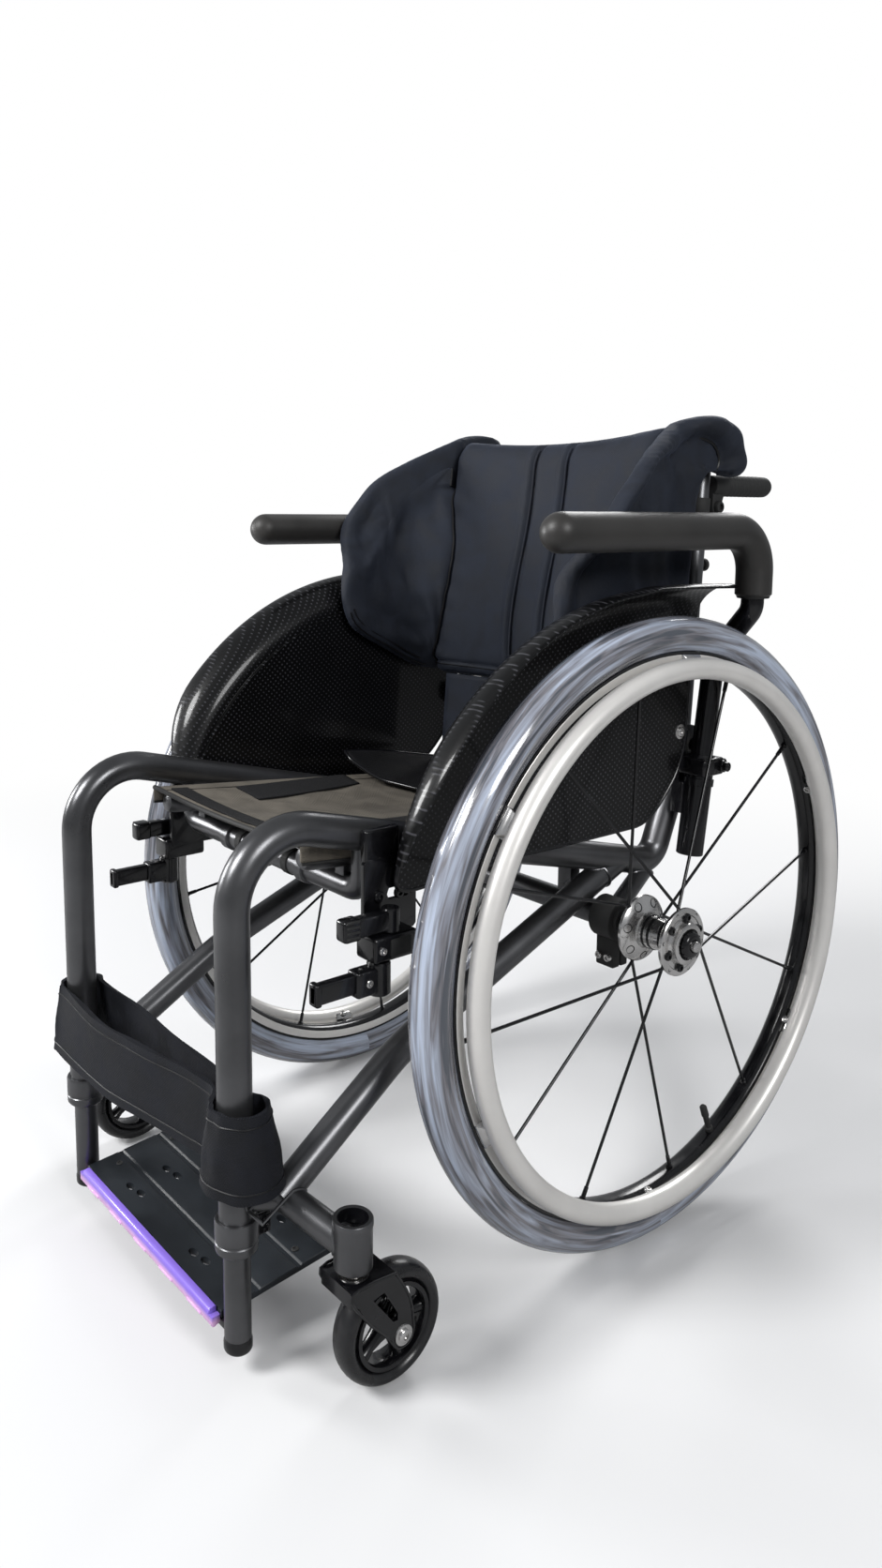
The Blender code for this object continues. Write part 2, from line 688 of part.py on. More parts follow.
def wing_x(y, z):
    """Middle surface of a wing: beside the pad at the seam, leaning out at its free edge above the guard."""
    forward = min(1.0, max(0.0, 0.085 - y) / 0.090)
    above = min(1.0, max(0.0, (z - 0.628) / 0.055))
    behind = min(1.0, max(0.0, (y - 0.095) / 0.030))
    return 0.1593 + 0.002 * forward + 0.031 * forward * above + 0.0080 * behind


def make_wing(word, side):
    """Rows shrink from the outline to one inner point that sees all of it, so the wing's faces are puffed."""
    outline = wing_outline()
    hub = Vector((0.085, 0.757))
    bm = bmesh.new()
    faces = []
    for face in (1, -1):
        layers = []
        for scale, puff in ((1.0, 0.0035), (0.93, 0.0065), (0.74, 0.0080), (0.52, 0.0082), (0.28, 0.0082)):
            ring = []
            for y, z in outline:
                at = hub + (Vector((y, z)) - hub) * scale
                ring.append(bm.verts.new((side * (wing_x(*at) + face * puff), *at)))
            layers.append(ring)
        for first, second in zip(layers, layers[1:]):
            for i in range(len(outline)):
                j = (i + 1) % len(outline)
                bm.faces.new((first[i], first[j], second[j], second[i]))
        middle = bm.verts.new((side * (wing_x(*hub) + face * 0.0082), *hub))
        for i in range(len(outline)):
            bm.faces.new((layers[-1][i], layers[-1][(i + 1) % len(outline)], middle))
        faces.append(layers[0])
    outer, inner = faces
    for i in range(len(outline)):
        j = (i + 1) % len(outline)
        bm.faces.new((outer[i], outer[j], inner[j], inner[i]))
    solid(f"back_wing_{word}", bm, "cloth", smooth_deg=60)


def make_lower_panel():
    """Cloth that hangs from the padded back's lower edge down towards the seat."""
    section = (
        (0.050, 0.5015), (0.047, 0.455), (0.044, 0.412), (0.048, 0.411), (0.051, 0.455), (0.054, 0.5015),
    )
    bm = bmesh.new()
    rings = []
    for k in range(9):
        x = -0.128 + 0.256 * k / 8
        bow = 0.012 * (1 - (x / 0.128) ** 2)
        rings.append([Vector((x, y + bow, z)) for y, z in section])
    skin(bm, rings)
    solid("back_lower_panel", bm, "cloth")


def make_sling():
    """Seat cloth over the rails, sagging between them, with its hems turned down outside the rails."""
    reach = RAIL_X + RAIL_R + GAP
    columns = [-0.118, -0.085, -0.045, 0.0, 0.045, 0.085, 0.118]
    bm = bmesh.new()
    rings = []
    for k in range(8):
        y = -0.338 + 0.383 * k / 7
        crown = rail_z(y) + RAIL_R + 0.0012
        sag = 0.009 * math.sin(math.pi * (k + 0.4) / 7.4) + 0.002
        lower = [(x, crown - sag * (1 - (x / RAIL_X) ** 2)) for x in columns]
        under = [(-reach, crown - 0.0125), (-reach, crown - 0.004), (-reach + 0.004, crown)]
        over = [(-x, z) for x, z in reversed(under)]
        inner = under + lower + over
        outer = [(x, z + 0.0032) for x, z in lower]
        wrap = [(-reach - 0.0016, crown - 0.0125), (-reach - 0.0016, crown - 0.002),
            (-reach + 0.004, crown + 0.0034)]
        top = wrap + outer + [(-x, z) for x, z in reversed(wrap)]
        rings.append([Vector((x, y, z)) for x, z in inner + top[::-1]])
    skin(bm, rings)
    solid("seat_sling", bm, "sling")


def make_strap():
    """Padded belt in one closed loop: in front of one leg, behind the other, with a flared cuff on each."""
    wall = 0.0040
    heights = (STRAP_TOP_Z, 0.205, 0.182, STRAP_BOTTOM_Z)
    stations = []
    for k in range(8):
        a = math.radians(-128 + 246 * k / 7)
        bulge = 1.0 + 0.50 * max(0.0, math.cos(a - math.radians(25)))
        stations.append((FRAME_X, math.cos(a), math.sin(a), bulge))
    stations += [(0.085, 0.0, 0.0185, 0.0), (0.0, 0.0, 0.0195, 0.0), (-0.085, 0.0, 0.0215, 0.0)]
    for k in range(8):
        a = math.radians(62 + 222 * k / 7)
        bulge = 1.0 + 0.25 * max(0.0, math.cos(a - math.radians(140)))
        stations.append((-FRAME_X, math.cos(a), math.sin(a), bulge))
    stations += [(-0.060, 0.0, -0.0175, 0.0), (0.0, 0.0, -0.0095, 0.0), (0.070, 0.0, 0.0035, 0.0),
        (0.105, 0.0, 0.0060, 0.0)]
    bm = bmesh.new()
    rings = []
    for x, c, s, bulge in stations:
        ring = []
        for layer in (0.0, wall):
            rows = heights if layer == 0.0 else heights[::-1]
            for z in rows:
                flare = (STRAP_TOP_Z - z) / (STRAP_TOP_Z - STRAP_BOTTOM_Z)
                if bulge:
                    r = (0.0172 + 0.0080 * flare) * bulge + layer
                    ring.append(Vector((x + r * c, LEG_Y + r * s, z)))
                else:
                    out = -1.0 if s < 0.010 else 1.0
                    ring.append(Vector((x, LEG_Y + s + out * (layer + 0.004 * flare), z - 0.004)))
        rings.append(ring)
    skin(bm, rings, closed_path=True)
    solid("calf_strap", bm, "cloth")


def make_footrest_tube(word, side):
    low = LOWER_TUBE_BOTTOM_Z
    turned(
        f"footrest_tube_{word}", (side * FRAME_X, LEG_Y, 0), (0, 0, 1),
        [(low, 0), (low, 0.0095), (low + 0.003, 0.0119), (low + 0.011, 0.0119),
            (low + 0.0125, LOWER_TUBE_R),
         (LOWER_TUBE_TOP_Z, LOWER_TUBE_R), (LOWER_TUBE_TOP_Z, 0)],
        "frame", 14,
    )


def make_clamp_collar(word, side):
    inner, outer = LOWER_TUBE_R + GAP, 0.0178
    leg = TUBE_R + GAP
    ring = turned(
        f"clamp_collar_{word}", (side * FRAME_X, LEG_Y, 0), (0, 0, 1),
        [(0.107, inner), (0.107, 0.0158), (0.1095, outer), (0.1345, outer), (0.1345, leg),
         (LEG_BOTTOM_Z - GAP, leg), (LEG_BOTTOM_Z - GAP, inner)],
        "frame", 14, ring=True,
    )
    lug = block(
        f"collar_lug_{word}", (side * (FRAME_X - 0.005), LEG_Y + 0.0150, 0.1125),
        (side * (FRAME_X + 0.005), LEG_Y + 0.0300, 0.1300), "frame",
    )
    bolt = rod(
        f"collar_bolt_{word}", (side * (FRAME_X - 0.0085), LEG_Y + 0.0235, 0.121),
        (side * (FRAME_X + 0.0085), LEG_Y + 0.0235, 0.121), 0.0032, "alloy", 8,
    )
    join(ring, lug, bolt)


def plate_z(y):
    share = (y - PLATE_FRONT_Y) / (PLATE_REAR_Y - PLATE_FRONT_Y)
    return PLATE_FRONT_Z + share * (PLATE_REAR_Z - PLATE_FRONT_Z)


def make_footplate():
    """Ribbed plate between the footrest tubes, with a lug round each tube and drainage slots."""
    front, rear = PLATE_FRONT_Y, PLATE_REAR_Y
    outline = [(front, PLATE_FRONT_Z)]
    for groove in (front + 0.036, front + 0.078):
        outline += [(groove - 0.004, plate_z(groove)), (groove, plate_z(groove) - 0.0022),
            (groove + 0.004, plate_z(groove))]
    outline += [(rear, PLATE_REAR_Z), (rear, PLATE_REAR_Z - PLATE_THICK),
        (front, PLATE_FRONT_Z - PLATE_THICK)]
    plate = extruded_x("footplate", outline, -PLATE_HALF_X, PLATE_HALF_X, "plate")
    for word, side in SIDES:
        lug = block(
            f"plate_lug_{word}", (side * 0.120, -0.4205, 0.0300), (side * 0.1440, -0.4005, 0.0430),
            "gloss_black", 0.0015,
        )
        join(plate, lug)
        cut(plate,
            rod(f"lug_cut_{word}", (side * FRAME_X, LEG_Y, 0.0), (side * FRAME_X, LEG_Y, 0.1), 0.0122,
                "frame", 14))
    for i, row in enumerate((front + 0.019, front + 0.058, front + 0.098)):
        for j, column in enumerate((-0.062, 0.062)):
            low, high = (column - 0.009, row - 0.003, 0.02), (column + 0.009, row + 0.003, 0.07)
            cut(plate, block(f"plate_slot_{i}_{j}", low, high, "plate"))


def make_footplate_strip():
    """Coloured edge strip on the plate's front face."""
    y = PLATE_FRONT_Y - GAP
    outline = [
        (y, 0.0355), (y, 0.0462), (y - 0.0010, 0.0472), (y - 0.0058, 0.0465), (y - 0.0076, 0.0445),
        (y - 0.0080, 0.0345),
        (y - 0.0050, 0.0335),
    ]
    extruded_x("footplate_strip", outline, -0.1305, 0.1305, "lilac")


def make_brake_plate(word, side):
    """Plate hung beside the seat tube, with the pivot block that carries the lever and the shoe arm."""
    plate = block(
        f"brake_plate_{word}", (side * 0.163, -0.302, 0.345), (side * 0.168, -0.246, 0.412), "gloss_black",
        0.0015,
    )
    saddle = block(
        f"brake_saddle_{word}", (side * 0.1580, -0.300, 0.402), (side * 0.168, -0.264, 0.436),
        "gloss_black", 0.002,
    )
    pivot = block(
        f"brake_block_{word}", (side * 0.164, -0.308, 0.3315), (side * 0.190, -0.262, 0.3530),
        "gloss_black", 0.003,
    )
    bolt = rod(f"brake_bolt_{word}", (side * 0.166, -0.287, 0.379), (side * 0.1715, -0.287, 0.379), 0.0052,
        "alloy", 8)
    join(plate, saddle, pivot, bolt)
    slot = block(f"brake_slot_{word}", (side * 0.150, -0.275, 0.374), (side * 0.180, -0.255, 0.384),
        "frame", 0.0)
    cut(plate, slot, side_tube_cutter(f"brake_cut_{word}", side))


def make_brake_lever(word, side):
    x, y = side * LEVER_PIVOT[0], LEVER_PIVOT[1]
    hub = turned(
        f"brake_lever_{word}", (x, y, 0), (0, 0, 1),
        [(0.303, 0), (0.303, 0.0100), (0.3310, 0.0100), (0.3310, 0)], "gloss_black", 16,
        origin=(x, y, 0.317),
    )
    cheek = block(f"lever_cheek_{word}", (x - 0.0075, y - 0.026, 0.306), (x + 0.0075, y, 0.328),
        "gloss_black", 0.002)
    bar = block(f"lever_bar_{word}", (x - 0.0045, y - 0.066, 0.3085), (x + 0.0045, y - 0.020, 0.3275),
        "gloss_black", 0.002)
    join(hub, cheek, bar)


def make_brake_shoe(word, side):
    x, y = side * SHOE_PIVOT[0], SHOE_PIVOT[1]
    hub = turned(
        f"brake_shoe_{word}", (x, y, 0), (0, 0, 1),
        [(0.3535, 0), (0.3535, 0.0078), (0.3735, 0.0078), (0.3735, 0)], "gloss_black", 16,
        origin=(x, y, 0.364),
    )
    arm = block(f"shoe_arm_{word}", (x - 0.0055, y - 0.040, 0.3555), (x + 0.0055, y, 0.3720), "gloss_black",
        0.002)
    pad = block(f"shoe_pad_{word}", (x - 0.0070, y - 0.051, 0.3545), (x + 0.0070, y - 0.034, 0.3730),
        "gloss_black", 0.003)
    join(hub, arm, pad)


def make_caster_fork(word, side):
    """Crown, two slotted blades that trail to the axle, the axle bolt and the stem in the barrel."""
    axle_y = STEM_Y + CASTER_TRAIL
    crown_outline = [
        (-0.374, 0.1062), (-0.330, 0.1062), (-0.330, 0.1018), (-0.345, 0.0985), (-0.362, 0.0880),
        (-0.374, 0.0920),
    ]
    x = side * STEM_X
    fork = extruded_x(f"caster_fork_{word}", crown_outline, x - 0.0205, x + 0.0205, "gloss_black",
        (x, STEM_Y, 0.08))
    for i, face in enumerate((-1, 1)):
        blade_outline = [
            (-0.3735, 0.1060), (-0.3300, 0.1060), (-0.3160, 0.0780), (-0.3135, 0.0530), (-0.3155, 0.0440),
            (-0.3230, 0.0400),
            (-0.3310, 0.0430), (-0.3400, 0.0560), (-0.3600, 0.0790),
        ]
        slot_outline = [(-0.3520, 0.0920), (-0.3400, 0.0940), (-0.3275, 0.0700), (-0.3290, 0.0640),
            (-0.3330, 0.0660)]
        inner, outer = x + face * 0.0162, x + face * 0.0206
        blade = extruded_x(f"blade_{word}_{i}", blade_outline, inner, outer, "gloss_black")
        slot = extruded_x(f"blade_slot_{word}_{i}", slot_outline, x + face * 0.014, x + face * 0.024,
            "gloss_black")
        join(fork, blade)
        cut(fork, slot)
    bolt = rod(f"caster_bolt_{word}", (x - 0.0245, axle_y, CASTER_R), (x + 0.0245, axle_y, CASTER_R),
        0.0036, "alloy", 10)
    stem = turned(
        f"caster_stem_{word}", (x, STEM_Y, 0), (0, 0, 1),
        [(0.104, 0), (0.104, BARREL_BORE_R - 0.0006), (0.138, BARREL_BORE_R - 0.0006), (0.138, 0)], "alloy",
        16,
    )
    join(fork, bolt, stem)


def make_caster_wheel(word, side):
    centre = (side * STEM_X, STEM_Y + CASTER_TRAIL, CASTER_R)
    w = CASTER_HALF_WIDTH
    turned(
        f"caster_tyre_{word}", centre, (1, 0, 0),
        [(-0.0095, 0.0368), (-w, 0.0415), (-0.0085, 0.0480), (0, CASTER_R), (0.0085, 0.0480), (w, 0.0415),
            (0.0095, 0.0368)],
        "caster_tyre", 24, ring=True, origin=centre,
    )
    hub = turned(
        f"caster_hub_{word}", centre, (1, 0, 0),
        [(-0.0090, 0.0310), (-0.0095, 0.0362), (0.0095, 0.0362), (0.0090, 0.0310)], "gloss_black", 16,
        ring=True,
        origin=centre,
    )
    boss = turned(
        f"caster_boss_{word}", centre, (1, 0, 0),
        [(-0.0145, 0), (-0.0145, 0.0100), (0.0145, 0.0100), (0.0145, 0)],
        "gloss_black", 10,
    )
    join(hub, boss)
    for k in range(5):
        a = 2 * math.pi * k / 5
        out = Vector((0, math.cos(a), math.sin(a)))
        spoke = tube(
            f"caster_spoke_{word}_{k}", [Vector(centre) + out * 0.005, Vector(centre) + out * 0.0335],
            0.0060, "gloss_black", 5,
        )
        join(hub, spoke)
    bore = rod(
        f"caster_hub_bore_{word}", (centre[0] - 0.03, centre[1], centre[2]),
        (centre[0] + 0.03, centre[1], centre[2]),
        0.0040, "frame", 10,
    )
    cut(hub, bore)


def wheel_centre(side):
    return (side * WHEEL_X, 0.0, AXLE_Z)


def around_wheel(side, x, radius, degrees):
    """A point by its distance from the middle plane, its radius about the axle and its angle from +Y."""
    a = math.radians(degrees)
    return Vector((side * x, radius * math.cos(a), AXLE_Z + radius * math.sin(a)))


def make_rear_tyre(word, side):
    w, bead = TYRE_HALF_WIDTH, RIM_OUTER_R + GAP
    turned(
        f"rear_tyre_{word}", wheel_centre(side), (1, 0, 0),
        [(-0.0110, bead), (-w, 0.2820), (-0.0135, 0.2940), (0, WHEEL_R), (0.0135, 0.2940), (w, 0.2820),
            (0.0110, bead)],
        "tyre", WHEEL_STEPS, ring=True, origin=wheel_centre(side),
    )


def make_rear_rim(word, side):
    w = RIM_HALF_WIDTH
    turned(
        f"rear_rim_{word}", wheel_centre(side), (1, 0, 0),
        [(-w, RIM_OUTER_R), (w, RIM_OUTER_R), (w, 0.2580), (0.0060, RIM_INNER_R), (-0.0060, RIM_INNER_R),
            (-w, 0.2580)],
        "gloss_black", WHEEL_STEPS, ring=True, origin=wheel_centre(side),
    )


def make_handrim(word, side):
    centre = (side * HANDRIM_X, 0.0, AXLE_Z)
    section = []
    for k in range(6):
        a = 2 * math.pi * (k + 0.5) / 6
        section.append((HANDRIM_TUBE_R * math.cos(a), HANDRIM_R + HANDRIM_TUBE_R * math.sin(a)))
    rim = turned(f"handrim_{word}", centre, (1, 0, 0), section, "silver", WHEEL_STEPS, ring=True,
        origin=centre)
    for k in range(CLIPS):
        turn = FIRST_CLIP_DEG + k * 360 / CLIPS
        along = around_wheel(side, 0, 1, turn + 90) - Vector((0, 0, AXLE_Z))
        bm = bmesh.new()
        ends = []
        for x in (WHEEL_X + RIM_HALF_WIDTH + GAP, HANDRIM_X):
            ends.append(
                [around_wheel(side, x, r, turn) + along * t for r,
                    t in ((0.2535, -0.010), (0.2645, -0.010), (0.2645, 0.010), (0.2535, 0.010))])
        skin(bm, ends)
        join(rim, solid(f"clip_{word}_{k}", bm, "silver"))


def make_rear_hub(word, side):
    """Hub shell with two flanges, and twelve spokes that leave them by turns and end in their nipples."""
    bore = AXLE_PIN_R + 0.0004
    profile = [
        (0.2045, bore), (0.2045, 0.0130), (0.2085, 0.0135), (0.2090, 0.0320), (0.2125, 0.0320),
        (0.2160, 0.0190),
        (0.2300, 0.0145), (0.2500, 0.0145), (0.2545, 0.0320), (0.2590, 0.0320), (0.2610, 0.0220),
        (0.2660, 0.0200),
        (0.2660, bore),
    ]
    profile = [(side * x, r) for x, r in profile]
    origin = wheel_centre(side)
    hub = turned(f"rear_hub_{word}", (0, 0, AXLE_Z), (1, 0, 0), profile, "alloy", 12, ring=True,
        origin=origin)
    for k in range(SPOKES):
        turn = FIRST_NIPPLE_DEG + k * 360 / SPOKES
        flange_x = 0.2110 if k % 2 else 0.2568
        lead = 38.0 if (k // 2) % 2 else -38.0
        start = around_wheel(side, flange_x, 0.0275, turn + lead)
        end = around_wheel(side, WHEEL_X, RIM_INNER_R - 0.0014, turn)
        join(hub, tube(f"spoke_{word}_{k}", [start, end], [SPOKE_R, 0.0020], "gloss_black", 4))


def make_quick_release(word, side):
    """Axle pin through hub and axle tube, and the button that presses into its head."""
    centre = (0, 0, AXLE_Z)
    pin = [
        (0.1150, 0), (0.1150, AXLE_PIN_R), (0.2664, AXLE_PIN_R), (0.2664, 0.0130), (0.2705, 0.0115),
        (0.2715, 0.0095),
        (0.2715, 0.0056), (0.2540, 0.0056), (0.2540, 0),
    ]
    turned(f"axle_pin_{word}", centre, (1, 0, 0), [(side * x, r) for x, r in pin], "gloss_black", 12)
    button = [(0.2590, 0), (0.2590, 0.0051), (0.2748, 0.0051), (0.2758, 0.0038), (0.2758, 0)]
    turned(
        f"axle_button_{word}", centre, (1, 0, 0), [(side * x, r) for x, r in button], "alloy", 12,
        origin=(side * 0.2675, 0, AXLE_Z),
    )


def stand_on_origin():
    """Parents every object, cutters too, to one empty behind the origin."""
    carrier = bpy.data.objects.new("carrier", None)
    carrier.location = (0.0, ORIGIN_SHIFT_Y, 0.0)
    bpy.context.scene.collection.objects.link(carrier)
    for obj in list(bpy.data.objects):
        if obj is not carrier:
            obj.parent = carrier


def build():
    clear_scene()
    make_seat_subframe()
    make_axle_tube()
    make_sling()
    make_strap()
    make_footplate()
    make_footplate_strip()
    make_stiffening_bar()
    make_back_pad()
    make_lower_panel()
    per_side = (
        make_side_tube, make_diagonal, make_caster_arm, make_axle_clamp, make_receiver, make_armrest,
        make_guard,
        make_post, make_push_handle, make_wing, make_footrest_tube, make_clamp_collar, make_brake_plate,
        make_brake_lever, make_brake_shoe, make_caster_fork, make_caster_wheel, make_rear_tyre,
        make_rear_rim,
        make_handrim, make_rear_hub, make_quick_release,
    )
    for make in per_side:
        for word, side in SIDES:
            make(word, side)
    stand_on_origin()


build()
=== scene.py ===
"""Rigid wheelchair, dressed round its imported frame: +Z up, the chair faces -Y, +X is the user's left.

Shapes are drawn with Y = 0 at the rear axle and then moved to the frame's own place."""

import math

import bmesh
import bpy
from mathutils import Matrix, Quaternion, Vector
from mathutils.bvhtree import BVHTree


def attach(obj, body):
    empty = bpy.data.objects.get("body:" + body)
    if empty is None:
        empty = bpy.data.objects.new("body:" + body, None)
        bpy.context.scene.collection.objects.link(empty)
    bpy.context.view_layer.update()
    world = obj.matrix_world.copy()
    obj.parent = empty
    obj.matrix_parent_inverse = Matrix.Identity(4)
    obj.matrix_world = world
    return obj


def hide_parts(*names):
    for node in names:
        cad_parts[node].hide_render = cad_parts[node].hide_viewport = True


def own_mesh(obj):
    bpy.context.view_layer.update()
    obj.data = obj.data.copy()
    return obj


bl_info = {
    "name": "Rigid Wheelchair",
    "version": (1, 0, 0),
    "blender": (4, 5, 0),
    "location": "View3D > Sidebar > Wheelchair",
    "description": "Builds the visible pieces of a rigid wheelchair round its frame",
    "category": "Add Mesh",
}

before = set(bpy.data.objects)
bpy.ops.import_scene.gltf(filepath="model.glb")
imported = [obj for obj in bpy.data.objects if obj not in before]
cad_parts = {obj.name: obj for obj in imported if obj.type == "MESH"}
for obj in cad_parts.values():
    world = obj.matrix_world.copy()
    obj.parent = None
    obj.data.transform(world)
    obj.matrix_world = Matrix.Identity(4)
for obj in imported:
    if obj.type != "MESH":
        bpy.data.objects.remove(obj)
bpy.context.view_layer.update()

SIDES = (("left", 1.0), ("right", -1.0))
SHIFT_Y = 0.0716
AXLE_Z = 0.300
FRAME_X = 0.146
LEG_Y = -0.414
CASTER_STEM = (0.2255, -0.357)
CASTER_AXLE = (-0.323, 0.050)
ARM_X = 0.225
GUARD_X = 0.1725
SEAM_X = 0.0235
HUB_X = 0.2288
RAIL_X = 0.1185
RAIL_RADIUS = 0.0105
RECEIVER_LEAN = math.radians(8.0)
ARM_REAR_Y, ARM_FRONT_Y, ARM_Z = 0.1375, -0.141, 0.676
CREST_RADIUS = 0.324
POST_FOOT_Z, POST_TOP_Z, POST_RISE = 0.442, 0.775, 0.333
GRIP_Z = 0.722
SLING_FRONT_Y, SLING_REAR_Y, SLING_DEPTH = -0.338, 0.045, 0.383
PLATE_FRONT_Y, PLATE_REAR_Y, PLATE_DEPTH, PLATE_FRONT_Z = -0.421, -0.307, 0.114, 0.045

PICTURE = (941.0, 1672.0)
PRINCIPAL_POINT = (380.5, 716.0)
FOCAL_PX = 1190.74
SENSOR_MM = 36.0
EYE = (0.86211, -0.83884 + SHIFT_Y, 0.68575)
GAZE = (-0.788, 0.6008, -0.1337)


def evenly(start, span, count):
    """Values from start over span, in count equal steps."""
    return [start + span * k / count for k in range(count + 1)]


def full_turn(count):
    """Angles once round, in count equal steps."""
    return [2 * math.pi * k / count for k in range(count)]


# Shapes: each returns its points and its faces


def skin(rings, closed=False):
    """Faces between rings of equal length, capped at both ends unless the rings close on themselves."""
    count, rows = len(rings[0]), len(rings)
    points = [tuple(p) for ring in rings for p in ring]
    faces = []
    for row in range(rows if closed else rows - 1):
        a, b = row * count, (row + 1) % rows * count
        for i in range(count):
            j = (i + 1) % count
            faces.append((a + i, a + j, b + j, b + i))
    if not closed:
        faces.append(tuple(range(count))[::-1])
        faces.append(tuple(range((rows - 1) * count, rows * count)))
    return points, faces


def cloth_grid(rows):
    """One open surface through rows of points."""
    width = len(rows[0])
    points = [tuple(p) for row in rows for p in row]
    faces = []
    for r in range(len(rows) - 1):
        for c in range(width - 1):
            a = r * width + c
            faces.append((a, a + 1, a + width + 1, a + width))
    return points, faces


def rounded(points, radii, steps):
    """A path whose inner corners are arcs, each with its own radius."""
    points = [Vector(p) for p in points]
    path = [points[0]]
    for before, corner, after, radius in zip(points, points[1:], points[2:], radii):
        into, out = (corner - before).normalized(), (after - corner).normalized()
        turn = into.angle(out)
        centre = corner + (out - into).normalized() * (radius / math.cos(turn / 2))
        spoke = corner - into * radius * math.tan(turn / 2) - centre
        axis = into.cross(out).normalized()
        for k in range(steps + 1):
            path.append(centre + Quaternion(axis, turn * k / steps) @ spoke)
    path.append(points[-1])
    return path


def through(points, per, closed=False):
    """A smooth curve through the points."""
    points = [Vector(p) for p in points]
    count = len(points)
    path = []
    for i in range(count if closed else count - 1):
        if closed:
            a, b, c, d = (points[(i + k) % count] for k in (-1, 0, 1, 2))
        else:
            a, b, c, d = (points[min(max(i + k, 0), count - 1)] for k in (-1, 0, 1, 2))
        for k in range(per):
            t = k / per
            path.append(0.5 * (2 * b + (c - a) * t + (2 * a - 5 * b + 4 * c - d) * t**2
                               + (3 * b - a - 3 * c + d) * t**3))
    if not closed:
        path.append(points[-1])
    return path


def tube(path, radius, sides=24, closed=False, flat=1.0):
    """Rings square to a path; radius is one value or one per point, and flat squeezes one way across it."""
    path = [Vector(p) for p in path]
    count = len(path)
    radii = radius if isinstance(radius, (list, tuple)) else [radius] * count
    tangents = []
    for i in range(count):
        if closed:
            ahead, behind = path[(i + 1) % count] - path[i], path[i] - path[i - 1]
        else:
            ahead = path[min(i + 1, count - 1)] - path[i]
            behind = path[i] - path[max(i - 1, 0)]
        tangents.append((ahead.normalized() + behind.normalized()).normalized())
    normal = tangents[0].orthogonal().normalized()
    rings = []
    for i in range(count):
        if i:
            normal = tangents[i - 1].rotation_difference(tangents[i]) @ normal
        across = tangents[i].cross(normal)
        ring = []
        for a in full_turn(sides):
            ring.append(path[i] + (normal * math.cos(a) + across * math.sin(a) * flat) * radii[i])
        rings.append(ring)
    return skin(rings, closed)


def turned(centre, axis, profile, steps=32, ring=False):
    """A profile of (along, radius) turned about an axis; a ring profile closes on itself."""
    place = Matrix.Translation(Vector(centre)) @ Vector(axis).to_track_quat("Z", "Y").to_matrix().to_4x4()
    rings = []
    for along, radius in profile:
        radius = max(radius, 2e-5)
        rings.append([place @ Vector((radius * math.cos(a), radius * math.sin(a), along))
                      for a in full_turn(steps)])
    return skin(rings, ring)


def lists_of(bm):
    bm.verts.index_update()
    made = [tuple(v.co) for v in bm.verts], [tuple(v.index for v in f.verts) for f in bm.faces]
    bm.free()
    return made


def block(low, high, bevel=0.0015, segments=2):
    """A box with its edges rounded."""
    bm = bmesh.new()
    bmesh.ops.create_cube(bm, size=1.0)
    for vert in bm.verts:
        vert.co = Vector([min(a, b) if c < 0 else max(a, b) for c, a, b in zip(vert.co, low, high)])
    bmesh.ops.bevel(bm, geom=bm.edges[:], offset=bevel, segments=segments, profile=0.5, affect="EDGES")
    return lists_of(bm)


def plate(outline, along, start, end, bevel=0.0008, segments=2):
    """An outline carried along one axis, with its rims rounded.

    Along X the outline is (y, z), along Z it is (x, y)."""

    def place(p, t):
        return (t, p[0], p[1]) if along == "X" else (p[0], p[1], t)

    bm = bmesh.new()
    loops = [[bm.verts.new(place(p, t)) for p in outline] for t in (start, end)]
    count = len(outline)
    rims = [bm.faces.new(loops[0][::-1]), bm.faces.new(loops[1])]
    for i in range(count):
        j = (i + 1) % count
        bm.faces.new((loops[0][i], loops[0][j], loops[1][j], loops[1][i]))
    if bevel:
        edges = [edge for face in rims for edge in face.edges]
        bmesh.ops.bevel(bm, geom=edges, offset=bevel, segments=segments, profile=0.5, affect="EDGES")
    return lists_of(bm)


def bolt(at, axis, radius, height, socket=True):
    """A domed bolt head with a hollow for its key."""
    profile = [(0, radius), (height * 0.6, radius), (height * 0.9, radius * 0.86), (height, radius * 0.6)]
    if socket:
        profile += [(height, radius * 0.5), (height * 0.45, radius * 0.46), (height * 0.4, 0)]
    else:
        profile.append((height * 1.05, 0))
    return turned(at, axis, profile, 18)


def bead(start, direction, radius, other, other_axis, other_radius, steps=40, size=0.0016):
    """The weld where one tube meets the side of another."""
    start, direction = Vector(start), Vector(direction).normalized()
    other, other_axis = Vector(other), Vector(other_axis).normalized()
    normal = direction.orthogonal().normalized()
    across = direction.cross(normal)
    path = []
    for a in full_turn(steps):
        point = start + (normal * math.cos(a) + across * math.sin(a)) * radius
        for _ in range(400):
            off = point - other
            if (off - other_axis * off.dot(other_axis)).length <= other_radius:
                break
            point += direction * 0.00025
        path.append(point)
    return tube(path, size, 8, closed=True)


